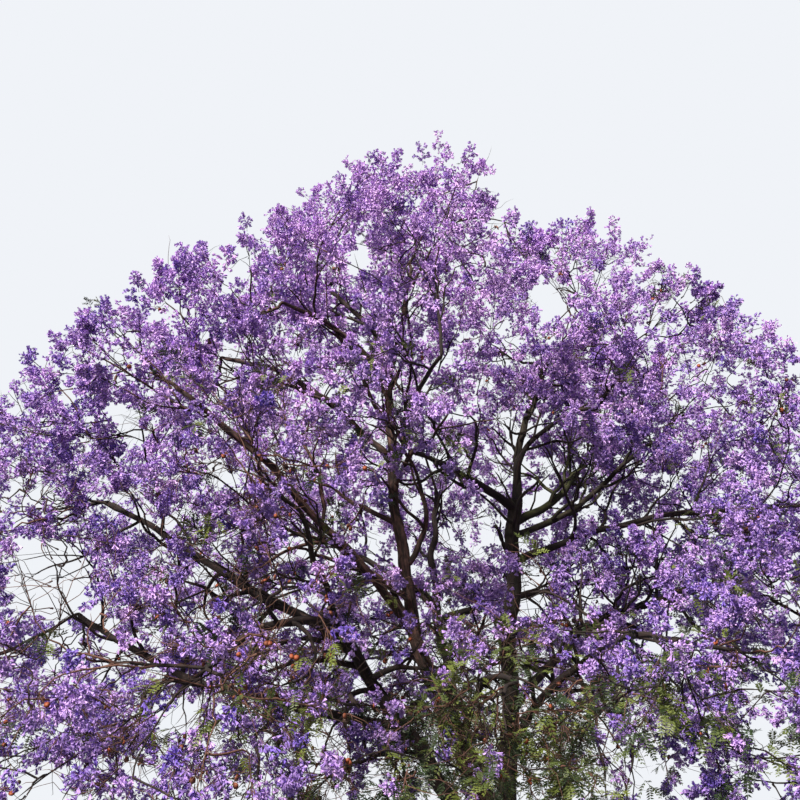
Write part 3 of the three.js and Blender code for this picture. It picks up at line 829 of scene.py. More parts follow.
def flower_shape(lobes):
    """A trumpet that opens from its foot into lobes of one triangle each, 1 long and 1 across."""
    sides = lobes * LOBE_PARTS
    shape = open_primitive(
        bpy.ops.mesh.primitive_cone_add, vertices=sides, radius1=0, radius2=0.5, depth=1,
        end_fill_type="NOTHING",
    )
    bpy.ops.transform.translate(value=(0, 0, 0.5))

    def part_of(point, offset):
        turn = math.atan2(point.y, point.x) / WHOLE_TURN
        return math.floor(turn * sides + offset) % LOBE_PARTS

    select(shape, "FACE", lambda face: part_of(face.center, 0) == LOBE_PARTS - 1)
    bpy.ops.mesh.delete(type="FACE")
    select(shape, "VERT", lambda corner: corner.co.z > 0.5 and part_of(corner.co, 0.5) in (1, 2))
    bpy.ops.mesh.dissolve_verts()
    select(shape, "VERT", lambda corner: corner.co.z > 0.5 and part_of(corner.co, 0.5) == 0)
    bpy.ops.transform.translate(value=(0, 0, -0.14))
    return read_shape(shape)


def pod_shape():
    """A flat round pod of two shells with a wavy rim, 1 across, hanging from its top at the origin."""
    shape = open_primitive(
        bpy.ops.mesh.primitive_cone_add, vertices=POD_SIDES, radius1=0.5, radius2=0, depth=0.13,
        end_fill_type="NOTHING",
    )
    bpy.ops.transform.translate(value=(0, 0, 0.065))
    bpy.ops.object.mode_set(mode="OBJECT")
    bpy.ops.object.modifier_add(type="MIRROR")
    mirror = shape.modifiers[0]
    mirror.use_axis = (False, False, True)
    mirror.merge_threshold = 0.001
    bpy.ops.object.modifier_apply(modifier=mirror.name)
    bpy.ops.object.mode_set(mode="EDIT")
    select(shape, "VERT", lambda corner: abs(corner.co.z) < 0.01 and corner.co.x * corner.co.y > 0.01)
    bpy.ops.transform.translate(value=(0, 0, 0.05))
    bpy.ops.mesh.select_all(action="SELECT")
    bpy.ops.transform.translate(value=(0, -0.5, 0))
    return read_shape(shape)


def pinna_shape():
    """One side leaflet of a frond: a kite, 1 long and 1 wide, widest a third of the way along."""
    shape = open_primitive(bpy.ops.mesh.primitive_circle_add, vertices=4, radius=0.5, fill_type="NGON")
    bpy.ops.transform.translate(value=(0, 0.5, 0))
    select(shape, "VERT", lambda corner: abs(corner.co.x) > 0.1)
    bpy.ops.transform.translate(value=(0, -0.15, 0.1))
    return read_shape(shape)


# Materials

def linear(code):
    """An sRGB hex colour as linear values."""
    shares = [int(code[place:place + 2], 16) / 255 for place in (1, 3, 5)]
    return [share / 12.92 if share <= 0.04045 else ((share + 0.055) / 1.055) ** 2.4 for share in shares]


def opaque(colour):
    """The colour with a full alpha after it."""
    return (*colour, 1.0)


def add_node(material, kind, links=(), values=(), **settings):
    """Adds a node, sets it and its sockets, and feeds its inputs from other nodes' outputs."""
    added = material.node_tree.nodes.new(kind)
    for key, value in settings.items():
        setattr(added, key, value)
    for key, value in values:
        added.inputs[key].default_value = value
    for key, source in links:
        material.node_tree.links.new(source, added.inputs[key])
    return added


def new_material(name, colour, roughness, **more):
    """A material with one shader, plain until nodes are added to it."""
    material = bpy.data.materials.new(name)
    material.use_nodes = True
    shader = material.node_tree.nodes["Principled BSDF"]
    shader.inputs["Base Color"].default_value = opaque(colour)
    shader.inputs["Roughness"].default_value = roughness
    for key, value in more.items():
        shader.inputs[key.replace("_", " ").title().replace("Ior", "IOR")].default_value = value
    return material, shader


def ramp(material, source, stops):
    """A colour ramp through (place, colour) stops."""
    node = add_node(material, "ShaderNodeValToRGB", [("Fac", source)])
    while len(node.color_ramp.elements) < len(stops):
        node.color_ramp.elements.new(0.5)
    for element, (place, colour) in zip(node.color_ramp.elements, stops):
        element.position = place
        element.color = opaque(colour)
    return node.outputs["Color"]


def blend_colour(material, factor, first, second, how="MIX"):
    """Two colours mixed. Each input is a socket or a plain value."""
    node = add_node(material, "ShaderNodeMix", data_type="RGBA", blend_type=how)
    links = material.node_tree.links
    for socket, source in ((0, factor), (6, first), (7, second)):
        if isinstance(source, bpy.types.NodeSocket):
            links.new(source, node.inputs[socket])
        else:
            node.inputs[socket].default_value = source
    return node.outputs[2]


@functools.cache
def bark_material():
    """Jacaranda bark: thin scaly plates parted by fine lengthwise furrows. Its colours hold painted shade,
    far darker than real grey-brown bark:
    the furrows near black as painted shade in the creases, the plates a dark red-brown, paler bark partly as
    painted sunlight, with pale lichen and some moss."""
    settings = bpy.context.scene.jacaranda_bark
    material, shader = new_material("jacaranda-bark-furrowed", settings.plates, 0.88)
    grain = add_node(material, "ShaderNodeAttribute", attribute_name="grain").outputs["Vector"]
    coat = add_node(material, "ShaderNodeAttribute", attribute_name="coat").outputs["Vector"]
    shares = add_node(material, "ShaderNodeSeparateXYZ", [(0, coat)]).outputs
    place = add_node(material, "ShaderNodeTexCoord").outputs["Object"]
    stretched = add_node(
        material, "ShaderNodeMapping", [("Vector", grain)], [("Scale", (1, 1, FURROW_STRETCH))],
    ).outputs[0]
    plates, patches = (
        add_node(
            material, "ShaderNodeTexNoise", [("Vector", vector)],
            [("Scale", 1 / spacing), ("Detail", detail), ("Roughness", roughness)],
        ).outputs["Fac"]
        for vector, spacing, detail, roughness in (
            (stretched, settings.furrow_spacing, 6, 0.65), (place, settings.patch_size, 5, 0.7),
        )
    )
    # Painted shade: the furrows, low in the same noise that the bump presses in, take the darkest colour.
    dark = ramp(material, plates, (
        (0.36, settings.furrows), (0.52, settings.plates), (0.7, settings.plate_edges)))
    # Paler bark on the limbs listed as pale: partly younger, smoother bark and partly painted sunlight.
    pale = ramp(material, plates, (
        (0.3, settings.plates), (0.44, settings.plate_edges), (0.62, settings.pale_wood)))
    wood = blend_colour(material, shares["X"], dark, pale)
    spots = ramp(material, patches, ((0.57, (0, 0, 0)), (0.7, (0.2, 0.2, 0.2))))
    wood = blend_colour(material, spots, wood, opaque(settings.lichen))
    wood = blend_colour(material, shares["Y"], wood, opaque(settings.moss))
    # Painted shade: the bark is darkened towards the bottom of the pressed-in furrows.
    painted_furrow_shade = ramp(material, shares["Z"], ((0.0, (0.35, 0.35, 0.35)), (0.45, (1, 1, 1))))
    wood = blend_colour(material, 1.0, wood, painted_furrow_shade, "MULTIPLY")
    bump = add_node(
        material, "ShaderNodeBump", [("Height", plates)],
        [("Strength", 0.8), ("Distance", settings.furrow_spacing / 2)],
    )
    material.node_tree.links.new(wood, shader.inputs["Base Color"])
    material.node_tree.links.new(bump.outputs[0], shader.inputs["Normal"])
    return material


def mixed_tints(name, first, last, count, roughness, **more):
    """Plain tints in even steps between two colours, dealt out among many small copies."""
    first, last = np.array(first), np.array(last)
    shares = np.linspace(0, 1, count)
    return [
        new_material(f"{name}-{step + 1}", lerp(first, last, share), roughness, **more)[0]
        for step, share in enumerate(shares)
    ]


# Trunk, stems and boughs

def smooth_path(points, per_step):
    """A finer path through the same points, rounded at each."""
    before = np.vstack([2 * points[0] - points[1], points[:-2]])
    start, end = points[:-1], points[1:]
    after = np.vstack([points[2:], 2 * points[-1] - points[-2]])
    share = (np.arange(per_step) / per_step)[None, :, None]
    a, b, c, d = (part[:, None] for part in (before, start, end, after))
    curve = 0.5 * (
        2 * b + (c - a) * share + (2 * a - 5 * b + 4 * c - d) * share**2
        + (3 * b - a - 3 * c + d) * share**3
    )
    return np.vstack([curve.reshape(-1, 3), points[-1:]])


def round_limbs(name, limbs, sides):
    """Adds a closed round mesh along each limb's path, all in one piece."""
    bpy.ops.object.select_all(action="DESELECT")
    bpy.ops.curve.primitive_bezier_curve_add()
    curve = bpy.context.object
    curve.name = name
    curve.data.splines.clear()
    curve.data.dimensions = "3D"
    curve.data.bevel_depth = 1
    curve.data.bevel_resolution = sides // 2 - 2
    curve.data.use_fill_caps = True
    for path, radii in limbs:
        spline = curve.data.splines.new("POLY")
        spline.points.add(len(path) - 1)
        spline.points.foreach_set("co", np.column_stack([path, np.ones(len(path))]).ravel())
        spline.points.foreach_set("radius", radii)
    bpy.ops.object.convert(target="MESH")
    bpy.ops.object.mode_set(mode="EDIT")
    bpy.ops.mesh.select_all(action="SELECT")
    bpy.ops.mesh.remove_doubles(threshold=0.00001)
    bpy.ops.object.mode_set(mode="OBJECT")
    return bpy.context.object


def shade_smooth(piece):
    """Shades the piece alone smooth."""
    bpy.ops.object.select_all(action="DESELECT")
    piece.select_set(True)
    bpy.context.view_layer.objects.active = piece
    bpy.ops.object.shade_smooth()


def tube_limbs(name, paths, names, sides):
    """Adds many thinner limbs as closed tubes in one piece, with the same bark."""
    heap = Heap()
    for path, radii in paths:
        heap.tubes(path[None], radii[None], sides)
    piece = heap.piece(name, [bark_material()], "bark")
    relieve(piece, paths, names, sides=sides)
    shade_smooth(piece)


def apply_modifier(piece, kind, **settings):
    """Adds a modifier with its settings, and applies it at once."""
    bpy.context.view_layer.objects.active = piece
    modifier = piece.modifiers.new(kind.title(), kind)
    for key, value in settings.items():
        setattr(modifier, key, value)
    bpy.ops.object.modifier_apply(modifier=modifier.name)


def trunk_radii(shares):
    """The trunk tapers, swells into its root flare, and rounds off inside its fork."""
    height = shares * TRUNK.height
    flare = 1 + FLARE.swell * np.exp(-np.maximum(height, 0) / FLARE.fades)
    past = np.clip((shares - CROTCH.start) / (1 - CROTCH.start), 0, 1)
    return lerp(TRUNK.radius, TRUNK.top, shares) * flare * np.sqrt(1 - CROTCH.narrows * past**2)


def limb_radii(radii, count, parent_radius, length):
    """A limb tapers evenly, and is thicker where it leaves its parent."""
    shares = np.linspace(0, 1, count)
    collar = COLLAR.swell * np.exp(-shares * length / (COLLAR.fades * parent_radius))
    return lerp(radii[0], radii[1], shares) * (1 + collar)


def nearest_on(points, paths):
    """For each point: its nearest path, and its grain, which is how far it lies from that path's middle
    along two sides of it, and how far along the path."""
    best = np.full(len(points), np.inf)
    grain = np.zeros((len(points), 3))
    owner = np.zeros(len(points), int)
    for index, (path, radii) in enumerate(paths):
        runs = np.diff(path, axis=0)
        lengths = span(runs)
        starts_at = np.concatenate([[0], np.cumsum(lengths)[:-1]])
        side = across(runs[0])
        for step, run in enumerate(runs):
            onward = run / lengths[step]
            side = unit(side - onward * (side @ onward))
            other = np.cross(onward, side)
            offset = points - path[step]
            share = np.clip(offset @ run / lengths[step]**2, 0, 1)
            out = offset - share[:, None] * run
            gap = span(out) / lerp(radii[step], radii[step + 1], share)
            nearer = gap < best
            best[nearer] = gap[nearer]
            owner[nearer] = index
            grain[nearer, 0] = (out @ side)[nearer]
            grain[nearer, 1] = (out @ other)[nearer]
            grain[nearer, 2] = starts_at[step] + (share * lengths[step])[nearer]
    return owner, grain


def by_rings(points, paths, sides):
    """The same as nearest_on, for tubes whose corners stand in rings along their paths, then a tip."""
    grains = []
    owners = []
    first = 0
    for index, (path, _) in enumerate(paths):
        size = sides * (len(path) - 1)
        rings = points[first:first + size].reshape(-1, sides, 3)
        onward = unit(np.gradient(path, axis=0))[:-1, None]
        side = square_to(onward, across(onward[:1]))
        out = rings - path[:-1, None]
        lengths = np.concatenate([[0], np.cumsum(span(np.diff(path, axis=0)))])
        x = np.sum(out * side, axis=2)
        y = np.sum(out * np.cross(onward, side), axis=2)
        z = np.broadcast_to(lengths[:-1, None], x.shape)
        grains.append(np.vstack([np.stack([x, y, z], axis=2).reshape(-1, 3), [[0, 0, lengths[-1]]]]))
        owners.append(np.full(size + 1, index))
        first += size + 1
    return np.concatenate(owners), np.concatenate(grains)


def relieve(piece, paths, names, lowest=None, sides=None):
    """Presses the bark's ridges and furrows into a limb's skin, and notes for its material how the
    grain runs, how pale and mossy each limb is (the paler bark partly painted sunlight), and where the
    furrows lie, which the material darkens as painted shade."""
    settings = bpy.context.scene.jacaranda_bark
    mesh = piece.data
    points = read_points(mesh)
    normals = read_points(mesh, "normal")
    owner, grain = by_rings(points, paths, sides) if sides else nearest_on(points, paths)
    thick = span(grain[:, :2])
    narrow = RELIEF.least_spacing
    spacing = settings.ridge_spacing * (narrow + (1 - narrow) * np.clip(thick / TRUNK.radius, 0, 1))
    along_grain = grain * (1, 1, RIDGE_STRETCH) / spacing[:, None]
    ridge = np.array([noise.noise(Vector(place)) for place in along_grain])
    finer = np.array([noise.noise(Vector(place) * RELIEF.finer) for place in along_grain])
    ridge = ridge + RELIEF.finer_depth * finer
    knots = np.array([noise.noise(Vector(place) / settings.knot_spacing) for place in points])
    height = np.clip(ridge * RELIEF.gain, *RELIEF.between)
    out = thick * (settings.ridge_depth * height + settings.knot_depth * knots)
    points = points + normals * out[:, None]
    if lowest is not None:
        points[:, 2] = np.maximum(points[:, 2], lowest)
    mesh.vertices.foreach_set("co", points.ravel())
    pale = np.array([PALE_SUNLIT_LIMBS.get(name, PALE_ELSEWHERE.limbs) for name in names])[owner]
    mossy = np.array([MOSSY_LIMBS.get(name, 0.0) for name in names])[owner]
    mossy = mossy * np.clip(0.5 + normals[:, 2] + 0.8 * knots, 0, 1)
    at_foot = settings.foot_moss * np.exp(-points[:, 2] / MOSS_HEIGHT) * np.clip(knots + 0.6, 0, 1)
    mossy = np.maximum(mossy, at_foot)
    # The third channel marks the furrows, which the bark material darkens as painted shade.
    coat = np.column_stack([pale, mossy, np.clip(0.5 + ridge, 0, 1)])
    for key, values in (("grain", grain), ("coat", coat)):
        attribute = mesh.attributes.new(key, "FLOAT_VECTOR", "POINT")
        attribute.data.foreach_set("vector", values.astype(np.float32).ravel())
    mesh.update()


def finish_bark(piece):
    """Gives a piece its bark, and hands it to the frame."""
    piece.data.materials.clear()
    piece.data.materials.append(bark_material())
    shade_smooth(piece)
    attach(piece, "root")
    count_triangles(piece)


def bark_paths(names):
    """Each limb's finer path with its radii, collar and all."""
    limbs = tree()[0]
    paths = []
    for name in names:
        points, radii = limbs[name]
        path = stray(smooth_path(points, FINER_STEPS))
        parent_radius = limbs[LIMBS[name][0]][1][0]
        paths.append((path, limb_radii(radii, len(path), parent_radius, LIMBS[name][2])))
    return paths


def coarse_paths(names):
    """Each limb's plain path with its radii, to read the grain from."""
    limbs = tree()[0]
    return [(stray(limbs[name][0]), np.linspace(*limbs[name][1], LIMB.steps + 1)) for name in names]


# Twigs, panicles, leaves and pods, as arrays

def table_of(shoots):
    """Shoots as arrays. Each gives where it is rooted, the way on from there, where its panicle or
    leaves begin, their aim and length, and the number of its mass."""
    keys = ("root", "onward", "base", "aim", "long", "mass")
    return Sizes(**{key: np.array(values) for key, values in zip(keys, zip(*shoots))})


def grown_table(growths, kind):
    """The sprays or shoots of all the masses."""
    return table_of(
        (each.node.point, each.node.onward, each.base, each.aim, each.long, each.mass.index)
        for growth in growths for each in getattr(growth, kind)
    )


def pick(table, chosen):
    """The chosen rows of a table."""
    return Sizes(**{key: values[chosen] for key, values in vars(table).items()})


def joined(first, second):
    """The rows of two tables, one after the other."""
    return Sizes(**{key: np.concatenate([rows, vars(second)[key]]) for key, rows in vars(first).items()})


def by_mass(table, value_of):
    """A value for each row of a table, from the name of its mass."""
    return np.array([value_of(name) for name in MASSES])[table.mass]


def ways_round(count, number, draw):
    """Spins in radians for so many shoots round each of a number of others, evenly spread."""
    return GOLDEN_TURN * np.arange(count) + draw.uniform(0, WHOLE_TURN, (number, 1))


def spray_panicles(sprays, count, settings, draw):
    """The panicles that stand round the axis of each branchlet and at its end, and fill its spray."""
    look = ON_SPRAY
    number = len(sprays.long)
    shape = (number, count)
    step = np.arange(count) / (count - 1)
    last = step == 1
    at = np.where(last, look.last, look.start + look.over * step)
    at = at + draw.uniform(-look.strays, look.strays, shape)
    tilt = np.radians(np.where(last, 0, lerp(*look.tilts, step))) * draw.uniform(*look.tilt, shape)
    spin = ways_round(count, number, draw) + draw.uniform(-look.spin, look.spin, shape)
    aim = sprays.aim[:, None]
    outward = round_about(np.broadcast_to(aim, (*shape, 3)), spin, tilt)
    long = sprays.long[:, None]
    slope = 2 * SPRAY.girth * settings.spray_fullness
    reach = slope * long * (1 - at) / (np.sin(tilt) + slope * np.cos(tilt))
    reach = reach * np.where(last, 1, draw.uniform(*look.reach, shape))
    panicle = settings.panicle_length * draw.uniform(*look.long, shape)
    panicle = np.minimum(panicle, look.of_reach * reach)
    root = sprays.base[:, None] + aim * (at * long)[..., None]
    return Sizes(
        root=root.reshape(-1, 3),
        onward=np.broadcast_to(aim, outward.shape).reshape(-1, 3),
        base=(root + outward * (reach - panicle)[..., None]).reshape(-1, 3),
        aim=outward.reshape(-1, 3),
        long=panicle.reshape(-1),
        mass=np.repeat(sprays.mass, count),
    )


def stray(points):
    """Bends space a little, so that limbs and all that grows on them are crooked together. The seed
    makes the bends the same in every run."""
    noise.seed_set(SEEDS.crooks)
    flat = np.asarray(points, float).reshape(-1, 3)
    moved = flat.copy()
    low, high = CROOKS_FROM
    fade = np.clip((flat[:, 2] - low) / (high - low), 0, 1)[:, None]
    for spacing, amount in CROOKS:
        moved += amount * fade * np.array([noise.noise_vector(Vector(place) / spacing) for place in flat])
    return moved.reshape(np.shape(points))


def raised(point):
    """0 low down in the crown and 1 high up in it."""
    return np.clip((point[2] - LIFT.low) / (LIFT.high - LIFT.low), 0, 1)


def wander(start, aim, long, steps, draw):
    """A crooked path, each step turned a little from the last, drooping low down and rising above."""
    lift = lerp(LIFT.droops, LIFT.rises, raised(start))
    points = [start]
    for _ in range(steps):
        aim = unit(aim + draw.normal(0, SIDE.wander, 3) + lift * UP)
        points.append(points[-1] + aim * long / steps)
    return np.array(points)


def in_reach(point, growths):
    """Whether a point lies in the crown: in the middle of it, or in one of its masses."""
    if point[2] < IN_REACH.least:
        return False
    if span((point - IN_REACH.middle) / IN_REACH.half) < IN_REACH.share:
        return True
    if point[2] < IN_REACH.skirt:
        return span((point[:2] - IN_REACH.skirt_middle) / IN_REACH.skirt_half) < 1
    gaps = [span(point - growth.mass.centre) / growth.mass.radius for growth in growths]
    return min(gaps) < lerp(*IN_REACH.of_mass, raised(point))


def onward_at(path, share, near):
    """The way that a path runs at a share of its length, read from just before to just after."""
    return unit(along(path, min(share + near, 1)) - along(path, share - near))


def fork_from(path, share, tilts, long, steps, draw, spin):
    """A path that leaves another one at a share of its length, first leaning its own way."""
    tilt = math.radians(draw.uniform(*tilts))
    aim = round_about(onward_at(path, share, 0.03), np.array(spin), np.array(tilt))
    return wander(along(path, share), aim, long, steps, draw)


@functools.cache
def side_boughs():
    """The side boughs, their forks and the sprouts as named paths with radii, the branchlets that end
    them, and the single shoots that stand along them."""
    limbs, growths = tree()
    centres = np.array([growth.mass.centre for growth in growths])
    boughs = []
    ends = []
    for index, (name, row) in enumerate(LIMBS.items()):
        draw = np.random.default_rng((SEEDS.sides, index))
        path, radii = limbs[name]
        first = SIDE.start_on_stem if row[0] == "trunk" else SIDE.start
        count = round(row[2] * (1 - first) / SPACINGS.get(name, SIDE.spacing))
        for step in range(count):
            share = lerp(first, SIDE.to, (step + draw.uniform(*SIDE.place)) / count)
            for turn in range(SIDE.tries):
                spin = GOLDEN_TURN * step + draw.uniform(-1, 1) * (1 + turn)
                long = draw.uniform(*SIDE.long)
                side = fork_from(path, share, SIDE.tilt, long, SIDE.steps, draw, spin)
                if in_reach(side[-1], growths):
                    break
            else:
                continue
            thick = np.clip(SIDE.girth * lerp(*radii, share), SIDE.thinnest, SIDE.thickest)
            boughs.append((name, side, np.linspace(thick, SIDE.tip * thick, len(side))))
            ends.append(side)
            for turn, place in enumerate(FORK.at):
                spin = GOLDEN_TURN * turn + draw.uniform(0, 6)
                reach = long * FORK.long * draw.uniform(*FORK.varies)
                fork = fork_from(side, place, FORK.tilt, reach, FORK.steps, draw, spin)
                if in_reach(fork[-1], growths):
                    girth = max(FORK.girth * lerp(thick, SIDE.tip * thick, place), FORK.thinnest)
                    boughs.append((name, fork, np.linspace(girth, FORK.tip * girth, len(fork))))
                    ends.append(fork)
    draw = np.random.default_rng(SEEDS.sprouts)
    for name, count in SPROUTS.counts.items():
        path = limbs[name][0]
        for turn in range(count):
            share = draw.uniform(*SPROUTS.at)
            spin = GOLDEN_TURN * turn + draw.uniform(-0.4, 0.4)
            long = draw.uniform(*SPROUTS.long)
            sprout = fork_from(path, share, SPROUTS.tilt, long, SPROUTS.steps, draw, spin)
            boughs.append((name, sprout, np.linspace(*SPROUTS.radii, len(sprout))))
            ends.append(sprout)
    feet = np.concatenate([path[2:-1] for path in ends])
    for growth in growths:
        mass = growth.mass
        for bearing, rise in SHOULDERS.get(mass.name, ()):
            tip = mass.centre + heading(bearing, rise) * SHOULDER.reach * mass.radius
            gaps = span(feet - tip)
            foot = feet[np.argmin(np.abs(gaps - draw.uniform(*SHOULDER.long)))]
            side = wander(foot, unit(tip - foot), span(tip - foot), FORK.steps, draw)
            side += (tip - side[-1]) * np.linspace(0, 1, len(side))[:, None]
            boughs.append((mass.bough, side, np.linspace(*SHOULDER.radii, len(side))))
            ends.append(side)
            feet = np.concatenate([feet, side[1:-1]])
    onward = unit(np.array([path[-1] - path[-2] for path in ends]))
    tips = np.array([path[-1] for path in ends])
    gaps = span(tips[:, None] - centres)
    branchlets = Sizes(
        root=tips,
        onward=onward,
        base=tips + onward * BRANCHLET.lead,
        aim=unit(onward + draw.normal(0, BRANCHLET.lean, onward.shape)),
        long=draw.uniform(*BRANCHLET.long, len(tips)),
        mass=np.argmin(gaps, axis=1),
    )
    return boughs, branchlets, shoots_along(ends, centres, draw)


def shoots_along(paths, centres, draw):
    """Single shoots that stand on the side boughs and forks themselves."""
    grown = []
    for path in paths:
        for share in draw.uniform(*ALONG.at, ALONG.count):
            root = along(path, share)
            onward = onward_at(path, share, 0.05)
            aim = round_about(onward, np.array(draw.uniform(0, 6.3)), np.array(draw.uniform(*ALONG.tilt)))
            base = root + aim * draw.uniform(*ALONG.lead)
            mass = np.argmin(span(centres - base))
            grown.append((root, onward, base, aim, draw.uniform(*ALONG.long), mass))
    return table_of(grown)


def hidden_share(points):
    """The share of the blossom at each point that is left out, so that the limbs behind it show."""
    limbs = tree()[0]
    lanes = []
    for name, (start, end, share) in SHOWN.items():
        shares = np.linspace(start, end, 2 * LIMB.steps)
        lanes.append((np.array([along(limbs[name][0], place) for place in shares]), share))
    for name, path, _ in side_boughs()[0]:
        if name in SHOWN_FORKS:
            lanes.append((smooth_path(path, 2), SHOWN[name][2] * SIGHT.forks))
    places = stray(np.concatenate([lane for lane, _ in lanes])) - VIEWER
    shares = np.concatenate([np.full(len(lane), share) for lane, share in lanes])
    points = stray(points) - VIEWER
    far = span(points)[:, None]
    far_behind = span(places)
    apart = np.arccos(np.clip(unit(points) @ unit(places).T, -1, 1))
    width = SIGHT.limb / far_behind + SIGHT.panicle / far
    hides = (apart < width) & (far < far_behind - SIGHT.before)
    return np.max(hides * shares, axis=1)


def past_reach(tips):
    """Whether each shoot of the upper crown would stand out past every mass's own space."""
    masses = [growth.mass for growth in tree()[1]]
    gaps = [span(tips - mass.centre) / mass.radius for mass in masses]
    return (tips[:, 2] > OUTLINE.start) & (np.min(gaps, axis=0) > OUTLINE.reach)


def in_openings(points):
    """Whether each point lies in one of the gaps that the viewer sees through the crown."""
    x, y, z = (stray(points) - VIEWER).T
    turn = np.degrees(np.arctan2(x, y))
    rise = np.degrees(np.arctan2(z, np.hypot(x, y)))
    inside = np.zeros(len(points), bool)
    for middle, height, half_wide, half_high in OPENINGS:
        inside |= np.hypot((turn - middle) / half_wide, (rise - height) / half_high) < 1
    return inside


def bears_any(kept, counts):
    """Whether each branchlet keeps a panicle, from what is kept of them all, row after row."""
    bearing = []
    start = 0
    for number, each in counts:
        bearing.append(kept[start:start + number * each].reshape(number, each).any(axis=1))
        start += number * each
    return np.concatenate(bearing)


def carries_any(branchlets, roots):
    """Whether anything is rooted on each branchlet's own length."""
    offsets = roots - branchlets.base[:, None]
    places = np.clip(np.einsum("ijk,ik->ij", offsets, branchlets.aim), 0, branchlets.long[:, None])
    gaps = span(offsets - places[..., None] * branchlets.aim[:, None])
    return (gaps < BARREN.near).any(axis=1)


def low_leaves(places):
    """How leafy the low middle of the crown is, near the trunk and in front of it."""
    low = (LOW_LEAVES.none_above - places[:, 2]) / (LOW_LEAVES.none_above - LOW_LEAVES.all_below)
    middle = np.exp(-((places[:, 0] - LOW_LEAVES.middle) / LOW_LEAVES.spread) ** 2)
    return LOW_LEAVES.share * np.clip(low, 0, 1) * middle * (places[:, 1] < LOW_LEAVES.back)


@functools.cache
def growth_tables():
    """The branchlets that bear something, those that end in bare twigs, and every shoot on a branchlet
    or between, by what it bears."""
    settings = bpy.context.scene.jacaranda_blossom
    draw = np.random.default_rng(SEEDS.shoots)
    growths = tree()[1]
    sprays = grown_table(growths, "sprays")
    _, side_sprays, on_sides = side_boughs()
    ends = side_sprays.base + side_sprays.aim * (ON_SPRAY.last * side_sprays.long)[:, None]
    side_sprays.long = side_sprays.long * np.where(past_reach(ends), BRANCHLET.past_reach, 1)
    shoots = joined(grown_table(growths, "shoots"), on_sides)
    on_sprays = joined(
        spray_panicles(sprays, settings.panicles_per_spray, settings, draw),
        spray_panicles(side_sprays, BRANCHLET.panicles, settings, draw),
    )
    standing = joined(on_sprays, shoots)
    middles = standing.base + standing.aim * (standing.long / 2)[:, None]
    tips = standing.base + standing.aim * standing.long[:, None]
    kept = draw.uniform(0, 1, len(middles)) >= hidden_share(middles)
    kept &= ~in_openings(middles) & ~past_reach(tips)
    counts = (
        (len(sprays.long), settings.panicles_per_spray),
        (len(side_sprays.long), BRANCHLET.panicles),
    )
    lone = (np.arange(len(middles)) >= len(on_sprays.long))[kept]
    standing = pick(standing, kept)
    branchlets = joined(sprays, side_sprays)
    barren = ~bears_any(kept, counts)
    roots = np.concatenate([standing.root, branchlets.root])
    barren[barren] = ~carries_any(pick(branchlets, barren), roots)
    near_root = span(branchlets.base - branchlets.root) < BARREN.reach
    twiggy = pick(branchlets, barren & near_root)
    twiggy.long = BARREN.long * twiggy.long
    leafy = by_mass(standing, lambda name: LEAFY.get(name, LEAFY_ELSEWHERE))
    leafy = leafy * np.where(lone, 1, SHARE_ON_SPRAYS.leafy)
    leafy = np.maximum(leafy, low_leaves(standing.base))
    bare = by_mass(standing, lambda name: BARER.get(name, BARE))
    bare = bare * np.where(lone, 1, SHARE_ON_SPRAYS.bare)
    luck = draw.uniform(0, 1, len(lone))
    is_leafy = luck < leafy
    is_bare = ~is_leafy & (luck < leafy + bare)
    return {
        "branchlets": pick(branchlets, ~barren),
        "twiggy": twiggy,
        "standing": joined(standing, twiggy),
        "panicles": pick(standing, ~is_leafy & ~is_bare),
        "leafy": pick(standing, is_leafy),
        "bare": pick(standing, is_bare),
    }


def crooked(paths, amount, draw):
    """Bends the inner points of each path to one side and another by a share of its length."""
    count = paths.shape[1]
    swing = np.sin(np.pi * np.arange(count) / (count - 1))[:, None] ** 0.5
    reach = span(paths[:, -1] - paths[:, 0])[:, None, None]
    return paths + draw.normal(0, amount, paths.shape) * swing * reach


def leave_and_arrive(table, count):
    """A curve for the twig of each shoot, from its root to where its panicle or leaves begin."""
    reach = table.base - table.root
    leave = unit(0.7 * table.onward + unit(reach))
    return arch(table.root, leave, table.base, table.aim, count)


def along_paths(table, shares):
    """Points at shares of each shoot's own length past its base."""
    reach = np.array(shares) * table.long[:, None]
    return table.base[:, None] + table.aim[:, None] * reach[..., None]


def grown(kind):
    """One table of shoots, carried along by the crooks of their limbs."""
    table = growth_tables()[kind]
    base = stray(table.base)
    tip = stray(table.base + table.aim * table.long[:, None])
    return Sizes(**{**vars(table), "root": stray(table.root), "base": base, "aim": unit(tip - base)})


def twig_tints(table, draw):
    """0 to 2, from dark twigs to pale ones, which are commoner low in front. The dark tint is partly painted
    shade and the pale one partly painted sunlight.
    """
    pale = by_mass(table, lambda name: PALE_SUNLIT_TWIGS.get(name, PALE_ELSEWHERE.twigs))
    luck = draw.uniform(0, 1, len(pale))
    return np.where(luck < pale, 2, np.where(luck < pale + BROWN_TWIGS, 1, 0))


